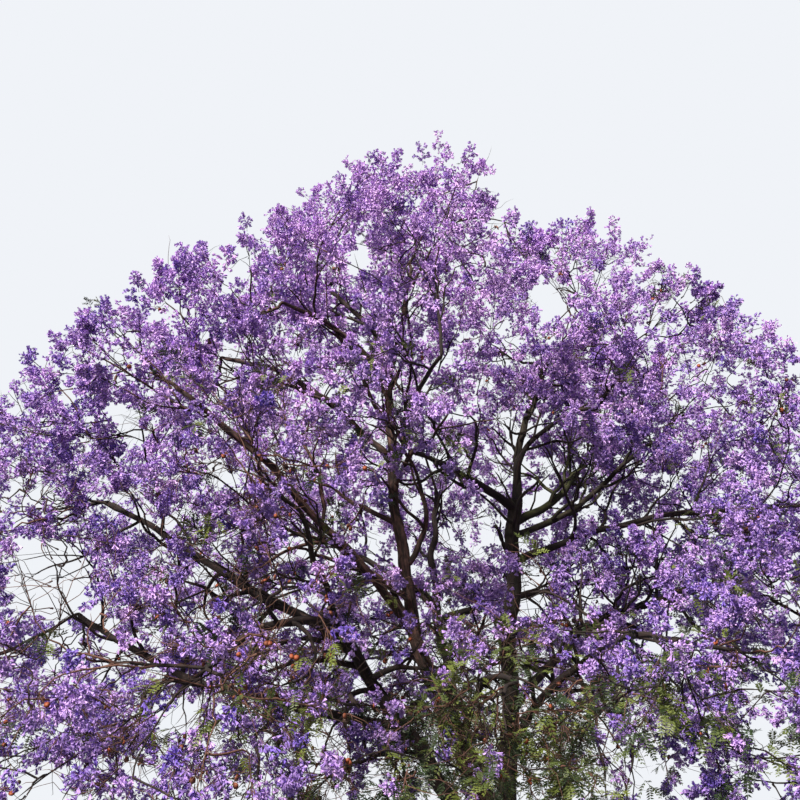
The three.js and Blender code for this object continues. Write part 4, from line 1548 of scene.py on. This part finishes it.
def panicle_parts(panicles, settings, draw):
    """The side stalks of each panicle from start to tip, and each flower's place, aim and scale."""
    number = len(panicles.long)
    stalks = settings.stalks_per_panicle
    flowers = settings.flowers_per_stalk
    shape = (number, stalks)
    at = (np.arange(stalks) + 0.5) / stalks
    spin = ways_round(stalks, number, draw)
    aim = np.broadcast_to(panicles.aim[:, None], (*shape, 3))
    out = round_about(aim, spin, np.radians(STALK.tilt) * draw.uniform(*STALK.tilts, shape))
    out = unit(out + draw.normal(0, STALK.strays, out.shape))
    long = panicles.long[:, None, None]
    start = panicles.base[:, None] + aim * long * (STALK.start + STALK.over * at[:, None])
    width = settings.panicle_width * (STALK.widest - STALK.narrows * at)
    width = width * draw.uniform(*STALK.long, shape)
    reach = out * (width * panicles.long[:, None])[..., None]
    strays = draw.uniform(-FLOWER.strays, FLOWER.strays, (*shape, flowers))
    share = (np.arange(flowers) + FLOWER.first) / flowers + strays
    place = start[:, :, None] + reach[:, :, None] * share[..., None]
    place = place + draw.normal(0, settings.flower_scatter, place.shape)
    turns = draw.normal(0, FLOWER.turns, place.shape)
    face = unit(out[:, :, None] * FLOWER.outward + turns - UP * settings.flower_droop)
    scale = np.broadcast_to((FLOWER.largest - FLOWER.shrinks * at)[:, None], share.shape)
    return start, start + reach, place, face, scale * draw.uniform(*FLOWER.size, share.shape)


def group_of(name):
    """The part of the crown that a mass belongs to, for dealing the blossom out to pieces."""
    centre = next(growth.mass.centre for growth in tree()[1] if growth.mass.name == name)
    if centre[1] > PARTED.rear:
        return "rear-upper" if centre[2] > PARTED.rear_upper else "rear-lower"
    height = "upper" if centre[2] > PARTED.upper else "lower"
    return f"{height}-left" if centre[0] < PARTED.left else f"{height}-right"


def add_fronds(heap, starts, ahead, longs, settings, draw, tints):
    """Ferny leaves: a thin drooping rib with a kite for each side leaflet and one at its end."""
    side = unit(np.cross(ahead, UP + draw.normal(0, FROND.turns, ahead.shape)))
    droop = settings.frond_droop * draw.uniform(*FROND.droop, len(longs))
    corners, triangles = pinna_shape()

    def rib(share):
        fall = (droop * share**2 * longs)[:, None] * UP
        return starts + ahead * (share * longs)[:, None] - fall

    def leaflets(place, across_it, out, long, wide):
        axes = np.stack([across_it, out, np.cross(across_it, out)], axis=1)
        heap.copies(corners, triangles, rib(place), axes, np.column_stack([long * wide, long, long]), tints)

    heap.twigs(np.stack([rib(share) for share in FROND.rib], axis=1), *FROND.radii, tints)
    sideways, forwards = FROND.aim
    for pair in range(settings.leaflet_pairs):
        share = lerp(*FROND.leaflets, pair / (settings.leaflet_pairs - 1))
        onward = unit(ahead - (2 * droop * share)[:, None] * UP)
        long = longs * settings.leaflet_reach * (1 - FROND.tapers * (share - 0.5) ** 2)
        for way in (-1, 1):
            strays = draw.normal(0, FROND.strays, onward.shape)
            out = unit(side * way * sideways + onward * forwards + strays)
            leaflets(share, square_to(out, onward) * way, out, long, settings.leaflet_width)
    long = longs * settings.leaflet_reach * FROND.last
    leaflets(FROND.last_at, side, ahead, long, FROND.last_wide)


# Settings

def a_length(name, description, default, least=0.0, most=100.0):
    """A setting in metres."""
    return FloatProperty(
        name=name, description=description, default=default, min=least, max=most, precision=4, unit="LENGTH"
    )


def a_share(name, description, default, most=4.0):
    """A setting without a unit."""
    return FloatProperty(name=name, description=description, default=default, min=0, max=most, precision=3)


def a_count(name, description, default, most=100):
    """A whole number of like parts."""
    return IntProperty(name=name, description=description, default=default, min=2, max=most)


def a_colour(name, description, code):
    """A colour given as an sRGB hex value."""
    return FloatVectorProperty(
        name=name, description=description, default=linear(code), size=3, min=0, max=1, subtype="COLOR"
    )


class JacarandaBark(bpy.types.PropertyGroup):
    skin_step: a_length("Skin step", "Spacing of the trunk's surface points", 0.017, 0.01)
    ridge_spacing: a_length("Ridge spacing", "Across the trunk, from one long ridge to the next", 0.11)
    ridge_depth: a_share("Ridge depth", "Depth of the ridges as a share of the limb's radius", 0.06)
    knot_spacing: a_length("Knot spacing", "Between the swellings along a limb", 0.3)
    knot_depth: a_share("Knot depth", "Height of the swellings as a share of the limb's radius", 0.14)
    furrow_spacing: a_length(
        "Furrow spacing", "Between the fine furrows, drawn coarse enough to show", 0.03, 0.001
    )
    patch_size: a_length("Patch size", "Across the pale lichen patches", 0.22, 0.01)
    furrows: a_colour("Furrows", "Bottom of the furrows, in shade", "#0F0A09")
    # Painted shade: the plates and their edges are red-brown bark darkened near to black.
    plates: a_colour("Plates", "Weathered face of the bark", "#1C1210")
    plate_edges: a_colour("Plate edges", "Worn edges of the bark's plates", "#32231E")
    pale_wood: a_colour("Pale bark", "Sunlit bark of the younger, smoother limbs", "#75544A")
    lichen: a_colour("Lichen", "Dry grey patches", "#655C52")
    moss: a_colour("Moss", "Green film on the shaded limbs", "#474D28")
    foot_moss: a_share("Moss at the foot", "How much moss grows near the ground", 0.5, 1.0)


class JacarandaTwigs(bpy.types.PropertyGroup):
    branchlet: a_length("Branchlet radius", "Of a branchlet where it leaves its bough", 0.013, 0.001)
    twig: a_length("Twig radius", "Of a twig that bears one panicle", 0.0045, 0.0005)
    dark: a_colour("Dark twigs", "Shaded and older twigs", "#1D1211")
    brown: a_colour("Brown twigs", "Twigs of the last year", "#30201A")
    pale: a_colour("Pale twigs", "Young red-brown twigs in the sun", "#5C3E33")
    stalk: a_colour("Stalks", "Green-brown stalks inside the panicles", "#6B5A45")


class JacarandaBlossom(bpy.types.PropertyGroup):
    panicles_per_spray: a_count("Panicles per branchlet", "Round each branchlet and at its end", 6, 12)
    spray_fullness: a_share("Spray fullness", "How far the panicles fill their spray's outline", 1.15)
    panicle_length: a_length("Panicle length", "Of a full panicle of blossom", 0.3, 0.05)
    panicle_width: a_share("Panicle width", "Reach of its lowest stalks as a share of its length", 0.38)
    stalks_per_panicle: a_count("Stalks", "Side stalks in each panicle", 7, 16)
    flowers_per_stalk: a_count("Flowers", "Flowers on each side stalk", 7, 10)
    flower_length: a_length("Flower length", "Drawn a third over life for the lower count", 0.064, 0.01)
    flower_width: a_length("Flower width", "Across the open lobes", 0.048, 0.01)
    flower_scatter: a_length("Flower scatter", "How far flowers stray from their stalk", 0.009)
    half_open: a_share("Half-open share", "Flowers that are half open, with three lobes showing", 0.7, 1.0)
    flower_droop: a_share("Flower droop", "How far the flowers nod", 0.35)
    # Deep and light petal tints vary with age, and are also dealt by place in the crown as painted light and
    # shade.
    deep: a_colour("Deep petals", "Older flowers and buds, blue-violet", "#7258C0")
    light: a_colour("Light petals", "Fresh flowers, pink-lilac", "#D9B2F0")


class JacarandaLeaves(bpy.types.PropertyGroup):
    fronds_per_tuft: a_count("Fronds per tuft", "Ferny leaves on each leafy shoot", 5, 12)
    frond_length: a_length("Frond length", "Of a full leaf", 0.17, 0.05)
    frond_droop: a_share("Frond droop", "How far a leaf's end hangs, as a share of its length", 0.3)
    leaflet_pairs: a_count("Leaflet pairs", "Side leaflets along each leaf", 6, 20)
    leaflet_reach: a_share("Leaflet reach", "Longest side leaflet as a share of the leaf", 0.34)
    leaflet_width: a_share("Leaflet width", "As a share of the side leaflet's length", 0.42)
    young: a_colour("Young leaves", "Yellow-green leaves near the tips", "#64702F")
    full: a_colour("Full leaves", "Shaded leaves within the crown", "#25361A")


class JacarandaPods(bpy.types.PropertyGroup):
    width: a_length("Pod width", "Across the flat round pod", 0.055, 0.01)
    per_bare_shoot: a_count("Pods per bare shoot", "Bunched at the end of a bare shoot", 2, 8)
    ripe: a_colour("Ripe pods", "Russet pods in the sun", "#8F4728")
    dry: a_colour("Dry pods", "Old dark brown pods", "#3E2A20")


class JacarandaStage(bpy.types.PropertyGroup):
    distance: a_length("Camera distance", "In front of the trunk", -VIEWER[1])
    aside: a_length("Camera aside", "To the left of the trunk", -VIEWER[0])
    eye_height: a_length("Eye height", "Of the camera above the ground", VIEWER[2])
    tilt: FloatProperty(
        name="Camera tilt", description="Above the horizon", default=math.radians(24), subtype="ANGLE"
    )
    lens: a_share("Lens", "Focal length in mm on a 36 mm frame", 41.985, 200)
    sun: a_share("Key light", "Strength of the soft key light", 8.4, 20)
    fill_light: a_share("Fill light", "Strength of the light from all round", 0.38, 20)
    fill: a_colour("Fill colour", "Of the light from all round", "#EDEBF7")
    backdrop: a_colour("Backdrop", "Plain pale surround", "#F0F3F8")
    floor: a_colour("Floor", "Plain floor, pale under the strong key light", "#989894")


# Operators

class JACARANDA_OT_stage(bpy.types.Operator):
    """Add the camera, the soft studio light and a plain pale floor"""

    bl_idname = "jacaranda.stage"
    bl_label = "Stage"

    def execute(self, context):
        settings = context.scene.jacaranda_stage
        bpy.ops.object.select_all(action="DESELECT")
        bpy.ops.object.camera_add(
            location=(-settings.aside, -settings.distance, settings.eye_height),
            rotation=(math.pi / 2 + settings.tilt, 0, 0),
        )
        camera = context.object
        camera.data.lens = settings.lens
        camera.data.clip_end = STAGE.far
        context.scene.camera = camera
        bpy.ops.object.light_add(type="SUN", rotation=[math.radians(turn) for turn in STAGE.key_turn])
        key = context.object
        key.data.energy = settings.sun
        key.data.angle = math.radians(STAGE.key_wide)
        key.data.color = linear("#FFF6EA")
        bpy.ops.mesh.primitive_circle_add(
            vertices=STAGE.floor_sides, radius=STAGE.floor_radius, fill_type="NGON",
            location=(0, 0, -STAGE.floor_sunk),
        )
        floor = context.object
        floor.name = "floor"
        floor.data.materials.append(new_material("studio-floor-matte-paint", settings.floor, 0.9)[0])
        floor.visible_diffuse = False
        context.scene.world = self.studio_world(settings)
        context.scene.view_settings.view_transform = "Standard"
        return {"FINISHED"}

    def studio_world(self, settings):
        """A plain pale surround that is seen brighter than it lights the tree, and dimmer from below."""
        world = bpy.data.worlds.new("studio")
        world.use_nodes = True
        seen = world.node_tree.nodes["Background"]
        seen.inputs["Color"].default_value = opaque(settings.backdrop)
        place = add_node(world, "ShaderNodeTexCoord").outputs["Generated"]
        height = add_node(world, "ShaderNodeSeparateXYZ", [(0, place)]).outputs["Z"]
        strength = add_node(
            world, "ShaderNodeMapRange", [("Value", height)],
            [
                ("From Min", -0.3), ("From Max", 0.4),
                ("To Min", 0.25 * settings.fill_light), ("To Max", settings.fill_light),
            ],
        ).outputs[0]
        fill = add_node(
            world, "ShaderNodeBackground", [("Strength", strength)], [("Color", opaque(settings.fill))]
        )
        ray = add_node(world, "ShaderNodeLightPath").outputs["Is Camera Ray"]
        mixed = add_node(world, "ShaderNodeMixShader", [(0, ray), (1, fill.outputs[0]), (2, seen.outputs[0])])
        world.node_tree.links.new(mixed.outputs[0], world.node_tree.nodes["World Output"].inputs["Surface"])
        return world


class JACARANDA_OT_trunk(bpy.types.Operator):
    """Add the trunk and its four stems as one skin of furrowed bark, cut flat at the ground"""

    bl_idname = "jacaranda.trunk"
    bl_label = "Trunk and stems"

    def execute(self, context):
        settings = context.scene.jacaranda_bark
        limbs = tree()[0]
        names = ["trunk"] + [name for name, row in LIMBS.items() if row[0] == "trunk"]
        foot = np.array([[0, 0, -2 * ROOT_DEPTH], [0, 0, -ROOT_DEPTH]])
        trunk = stray(smooth_path(limbs["trunk"][0], 2))
        shares = np.concatenate([[0, 0], np.linspace(0, 1, len(trunk))])
        paths = [(np.vstack([foot, trunk]), trunk_radii(shares))] + bark_paths(names[1:])
        piece = round_limbs("trunk-and-stems", paths, SIDES.stems)
        apply_modifier(piece, "REMESH", mode="VOXEL", voxel_size=settings.skin_step)
        apply_modifier(piece, "SMOOTH", factor=0.5, iterations=VOXEL_SMOOTHING)
        bpy.ops.object.mode_set(mode="EDIT")
        bpy.ops.mesh.select_all(action="SELECT")
        bpy.ops.mesh.bisect(plane_co=(0, 0, 0), plane_no=(0, 0, 1), use_fill=True, clear_inner=True)
        bpy.ops.object.mode_set(mode="OBJECT")
        self.swell_buttresses(piece.data)
        relieve(piece, coarse_paths(names), names, lowest=0.0)
        finish_bark(piece)
        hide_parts(*names)
        return {"FINISHED"}

    def swell_buttresses(self, mesh):
        """Five low buttresses round the root flare."""
        points = read_points(mesh)
        turn = np.arctan2(points[:, 1], points[:, 0])
        ridge = FLARE.buttress * np.exp(-points[:, 2] / FLARE.buttress_fades)
        points[:, :2] *= (1 + ridge * np.cos(FLARE.buttresses * turn))[:, None]
        mesh.vertices.foreach_set("co", points.ravel())
        mesh.update()


class JACARANDA_OT_boughs(bpy.types.Operator):
    """Add the main boughs, and the finer boughs that run on from them into each blossom mass"""

    bl_idname = "jacaranda.boughs"
    bl_label = "Boughs"

    def execute(self, context):
        limbs, growths = tree()
        names = [name for name, row in LIMBS.items() if row[0] != "trunk"]
        piece = round_limbs("boughs", bark_paths(names), SIDES.boughs)
        relieve(piece, coarse_paths(names), names)
        finish_bark(piece)
        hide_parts(*names)
        inner = []
        for growth in growths:
            mass = growth.mass
            draw = np.random.default_rng(mass.seed)
            knots = [mass.tip - mass.onward * INNER.sunk, mass.foot, mass.knee]
            knots += [lerp(mass.knee, mass.heart, at) for at in INNER.knots]
            knots = np.array(knots)
            knots[3::2] += draw.normal(0, INNER.crook, knots[3::2].shape)
            path = stray(smooth_path(knots, FINER_STEPS))
            first = mass.bough_radius * (INNER.paired if mass.paired else INNER.single)
            inner.append((path, np.linspace(first, INNER.tip, len(path))))
        tube_limbs("inner-boughs", inner, [growth.mass.bough for growth in growths], SIDES.inner)
        forks = side_boughs()[0]
        paths = []
        for _, path, radii in forks:
            finer = 2 if len(path) > FORK.steps + 1 else 1
            shares = np.linspace(0, 1, finer * (len(path) - 1) + 1)
            radii = np.interp(shares, np.linspace(0, 1, len(path)), radii)
            paths.append((stray(smooth_path(path, finer)), radii))
        tube_limbs("side-boughs", paths, [name for name, _, _ in forks], SIDES.forks)
        return {"FINISHED"}


class JACARANDA_OT_twigs(bpy.types.Operator):
    """Add the branchlets that run through the blossom, the twigs on them and the bare shoots"""

    bl_idname = "jacaranda.twigs"
    bl_label = "Twigs"

    def execute(self, context):
        settings = context.scene.jacaranda_twigs
        draw = np.random.default_rng(SEEDS.twigs)
        # The bark of twigs is thin, smooth and dull, and redder and paler where it is young. The dark tint
        # also stands for twigs in shade (painted shade), the pale one for twigs in the sun (painted
        # sunlight).
        barks = [
            new_material(f"jacaranda-twig-bark-{name}", getattr(settings, name), 0.8)[0]
            for name in ("dark", "brown", "pale")
        ]
        heap = Heap()
        sprays = grown("branchlets")
        lower = crooked(leave_and_arrive(sprays, DRAWN.branchlet), TWIG_CROOK, draw)
        path = np.concatenate([lower, along_paths(sprays, DRAWN.past_base)], axis=1)
        thin = DRAWN.branchlet_tip * settings.branchlet
        heap.twigs(path, settings.branchlet, thin, twig_tints(sprays, draw), SIDES.branchlets)
        heap.piece("branchlets", barks, "bark")
        heap = Heap()
        self.add_bare_shoots(heap, joined(grown("bare"), grown("twiggy")), draw)
        self.add_tangle(heap, sprays, draw)
        heap.piece("bare-twigs", barks, "bark")
        standing = grown("standing")
        path = crooked(leave_and_arrive(standing, DRAWN.twig), TWIG_CROOK, draw)
        tints = twig_tints(standing, draw)
        rear = np.char.startswith(by_mass(standing, group_of), "rear")
        for key, chosen in (("front", ~rear), ("rear", rear)):
            heap = Heap()
            heap.twigs(path[chosen], settings.twig, DRAWN.twig_tip * settings.twig, tints[chosen])
            heap.piece(f"twigs-{key}", barks, "bark")
        return {"FINISHED"}

    def add_fine(self, heap, table, start, end, arrive, look, draw):
        """Adds a thin crooked twig for each row, from its start on along the row's aim to its end."""
        end[:, 2] = np.maximum(end[:, 2], LOWEST_TWIG)
        path = crooked(arch(start, table.aim, end, arrive, look.points), look.crook, draw)
        first, last = np.array(look.girth) * bpy.context.scene.jacaranda_twigs.twig
        heap.twigs(path, first, last, twig_tints(table, draw))

    def add_tangle(self, heap, sprays, draw):
        """Long thin curving twigs that bear nothing, pale and many low on the left, dark elsewhere."""
        pale = by_mass(sprays, PALE_SUNLIT_TWIGS.__contains__)
        counts = np.where(pale, TANGLE.where_pale, TANGLE.elsewhere) * ~in_openings(sprays.base)
        twigs = pick(sprays, np.repeat(np.arange(len(pale)), counts))
        number = len(twigs.long)
        at = draw.uniform(0, TANGLE.start, number) * twigs.long
        start = twigs.base + twigs.aim * at[:, None]
        spin = draw.uniform(0, WHOLE_TURN, number)
        aim = round_about(twigs.aim, spin, draw.uniform(*TANGLE.tilt, number))
        long = draw.uniform(*TANGLE.long, number)
        end = start + aim * long[:, None]
        long = long * np.where(past_reach(end) | in_openings(end), TANGLE.cut, 1)
        onward = unit(aim + draw.normal(0, TANGLE.curl, aim.shape))
        self.add_fine(heap, twigs, start, start + aim * long[:, None], onward, TANGLE, draw)

    def add_bare_shoots(self, heap, bare, draw):
        """A few twigs that fan out from the end of each bare shoot."""
        look = BARE_SHOOT
        for turn in range(look.count):
            spread = draw.normal(0, look.spread, bare.aim.shape)
            aim = unit(bare.aim + spread - UP * look.droop)
            start = bare.base + bare.aim * (look.apart * turn)
            long = bare.long * draw.uniform(*look.long, len(aim))
            self.add_fine(heap, bare, start, start + aim * long[:, None], aim, look, draw)


class JACARANDA_OT_blossom(bpy.types.Operator):
    """Add the panicles of violet trumpet flowers, in place of each plain blossom mass"""

    bl_idname = "jacaranda.blossom"
    bl_label = "Blossom"

    def execute(self, context):
        settings = context.scene.jacaranda_blossom
        draw = np.random.default_rng(SEEDS.flowers)
        # Petals are thin and velvety, so they are matte with a faint sheen, and vary at random from
        # blue-violet to pink-lilac with age; by place in the crown they also lean lighter or deeper as
        # painted light and shade.
        petals = mixed_tints(
            "jacaranda-petal", settings.deep, settings.light, PETAL_TINTS.count, 0.55, sheen_weight=0.2
        )
        panicles = grown("panicles")
        starts, ends, place, face, scale = panicle_parts(panicles, settings, draw)
        each = (len(scale), 1, 1)
        full = draw.uniform(*FLOWER.fullness, each)
        kept = draw.uniform(0, 1, scale.shape) < full
        last = PETAL_TINTS.count - 1
        tint = last / 2 + draw.normal(0, PETAL_TINTS.panicles_vary, each)
        tint = tint + draw.normal(0, PETAL_TINTS.flowers_vary, scale.shape)
        tint = tint + self.sunniness(panicles)[:, None, None]
        tint = np.clip(np.round(tint), 0, last).astype(int)
        kinds = ((flower_shape(5), 1), (flower_shape(3), FLOWER.half_open_width))
        half_open = draw.uniform(0, 1, scale.shape) < settings.half_open
        groups = {name: group_of(name) for name in MASSES}
        group = by_mass(panicles, groups.get)
        for key in dict.fromkeys(groups.values()):
            chosen = kept & (group == key)[:, None, None]
            heap = Heap()
            for (shape, width), kind in zip(kinds, (chosen & ~half_open, chosen & half_open)):
                axes = axes_of(face[kind], draw.uniform(0, WHOLE_TURN, kind.sum()))
                wide = scale[kind] * settings.flower_width * width
                sizes = np.column_stack([wide, wide, scale[kind] * settings.flower_length])
                heap.copies(*shape, place[kind], axes, sizes, tint[kind])
            piece = heap.piece(f"blossom-{key}", petals, "blossom")
            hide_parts(*[name for name in MASSES if groups[name] == key])
        rear = np.char.startswith(group, "rear")
        for name, chosen in (("stalks-front", ~rear), ("stalks-rear", rear)):
            self.add_stalks(name, pick(panicles, chosen), starts[chosen], ends[chosen])
        return {"FINISHED"}

    def sunniness(self, panicles):
        """Painted light and shade: blossom high up and in the middle of the crown takes the lighter, pinker
        tints, and low down and outside the deeper, bluer ones.
        """
        across_crown = np.abs(panicles.base[:, 0] - PAINTED_SUN_TINT.middle) / PAINTED_SUN_TINT.half
        high = panicles.base[:, 2] - PAINTED_SUN_TINT.level
        return PAINTED_SUN_TINT.most - PAINTED_SUN_TINT.outside * across_crown + PAINTED_SUN_TINT.per_metre * high

    def add_stalks(self, name, panicles, starts, ends):
        """The axis of each panicle and its lowest side stalks. Fresh stalks are smooth and green-brown."""
        settings = bpy.context.scene.jacaranda_twigs
        heap = Heap()
        heap.twigs(along_paths(panicles, (0, 1)), STALK.axis_girth * settings.twig, 0)
        pairs = np.stack([starts[:, :STALK.shown], ends[:, :STALK.shown]], axis=2)
        heap.twigs(pairs.reshape(-1, 2, 3), STALK.girth * settings.twig, 0)
        heap.piece(name, [new_material("jacaranda-green-stalk", settings.stalk, 0.7)[0]], "blossom")


class JACARANDA_OT_leaves(bpy.types.Operator):
    """Add tufts of ferny leaves on the leafy shoots"""

    bl_idname = "jacaranda.leaves"
    bl_label = "Leaves"

    def execute(self, context):
        settings = context.scene.jacaranda_leaves
        draw = np.random.default_rng(SEEDS.leaves)
        # Leaflets are thin with a slight gloss, yellow-green when young; the full tint is darker green,
        # deepened as painted shade, and the tints are dealt at random.
        greens = mixed_tints("jacaranda-leaflet", settings.full, settings.young, LEAF_TINTS, 0.5)
        leafy = grown("leafy")
        count = settings.fronds_per_tuft
        shape = (len(leafy.long), count)
        spin = ways_round(count, len(leafy.long), draw)
        tilt = np.radians(np.linspace(*TUFT.tilts, count)) * draw.uniform(*TUFT.tilt, shape)
        aims = round_about(np.broadcast_to(leafy.aim[:, None], (*shape, 3)), spin, tilt)
        starts = along_paths(leafy, np.linspace(0, TUFT.along, count))
        full = np.where(by_mass(leafy, LEAFY.__contains__), 1, TUFT.sparse)
        longs = settings.frond_length * full[:, None] * draw.uniform(*TUFT.long, shape)
        tints = np.repeat(draw.integers(0, LEAF_TINTS, len(full)), count).reshape(shape)
        shoot = along_paths(leafy, TUFT.shoot)
        left = leafy.base[:, 0] < LOW_LEAVES.middle
        for name, chosen in (("leaves-left", left), ("leaves-right", ~left)):
            heap = Heap()
            add_fronds(
                heap, starts[chosen].reshape(-1, 3), aims[chosen].reshape(-1, 3), longs[chosen].ravel(),
                settings, draw, tints[chosen].ravel(),
            )
            heap.twigs(shoot[chosen], *TUFT.radii)
            heap.piece(name, greens, "blossom")
        return {"FINISHED"}


class JACARANDA_OT_pods(bpy.types.Operator):
    """Add flat round seed pods on some of the bare shoots"""

    bl_idname = "jacaranda.pods"
    bl_label = "Pods"

    def execute(self, context):
        settings = context.scene.jacaranda_pods
        draw = np.random.default_rng(SEEDS.pods)
        # Pods are woody and dry, russet when ripe and near black when old.
        shells = mixed_tints("jacaranda-pod", settings.dry, settings.ripe, POD.tints, 0.6)
        bare = grown("bare")
        bare = pick(bare, np.arange(len(bare.long)) % POD.every == 0)
        places = along_paths(bare, np.linspace(0, POD.along, settings.per_bare_shoot))
        places = places + draw.normal(0, POD.strays, places.shape)
        hang = unit(-UP + draw.normal(0, POD.hang, places.shape)).reshape(-1, 3)
        face = unit(np.cross(hang, draw.normal(0, 1, hang.shape)))
        axes = np.stack([np.cross(-hang, face), -hang, face], axis=1)
        wide = settings.width * draw.uniform(*POD.size, len(hang))
        heap = Heap()
        tints = draw.integers(0, POD.tints, len(hang))
        heap.copies(*pod_shape(), places.reshape(-1, 3), axes, np.column_stack([wide] * 3), tints)
        heap.piece("pods", shells, "blossom")
        return {"FINISHED"}


class JACARANDA_PT_panel(bpy.types.Panel):
    """The pieces of the tree and their sizes"""

    bl_label = "Jacaranda"
    bl_idname = "JACARANDA_PT_panel"
    bl_space_type = "VIEW_3D"
    bl_region_type = "UI"
    bl_category = "Jacaranda"

    def draw(self, context):
        for operator in OPERATORS:
            self.layout.operator(operator.bl_idname)
        for key in SETTINGS:
            box = self.layout.box()
            box.label(text=key.title())
            group = getattr(context.scene, f"jacaranda_{key}")
            for name in group.bl_rna.properties.keys():
                if name not in ("rna_type", "name"):
                    box.prop(group, name)


SETTINGS = {
    "bark": JacarandaBark,
    "twigs": JacarandaTwigs,
    "blossom": JacarandaBlossom,
    "leaves": JacarandaLeaves,
    "pods": JacarandaPods,
    "stage": JacarandaStage,
}
OPERATORS = (
    JACARANDA_OT_stage,
    JACARANDA_OT_trunk,
    JACARANDA_OT_boughs,
    JACARANDA_OT_twigs,
    JACARANDA_OT_blossom,
    JACARANDA_OT_leaves,
    JACARANDA_OT_pods,
)


def register():
    for each in (*SETTINGS.values(), *OPERATORS, JACARANDA_PT_panel):
        bpy.utils.register_class(each)
    for key, group in SETTINGS.items():
        setattr(bpy.types.Scene, f"jacaranda_{key}", PointerProperty(type=group))


def unregister():
    for key in SETTINGS:
        delattr(bpy.types.Scene, f"jacaranda_{key}")
    for each in (JACARANDA_PT_panel, *reversed(OPERATORS), *SETTINGS.values()):
        bpy.utils.unregister_class(each)


def main():
    register()
    bpy.ops.jacaranda.stage()
    bpy.ops.jacaranda.trunk()
    bpy.ops.jacaranda.boughs()
    bpy.ops.jacaranda.twigs()
    bpy.ops.jacaranda.blossom()
    bpy.ops.jacaranda.leaves()
    bpy.ops.jacaranda.pods()


if __name__ == "__main__":
    main()
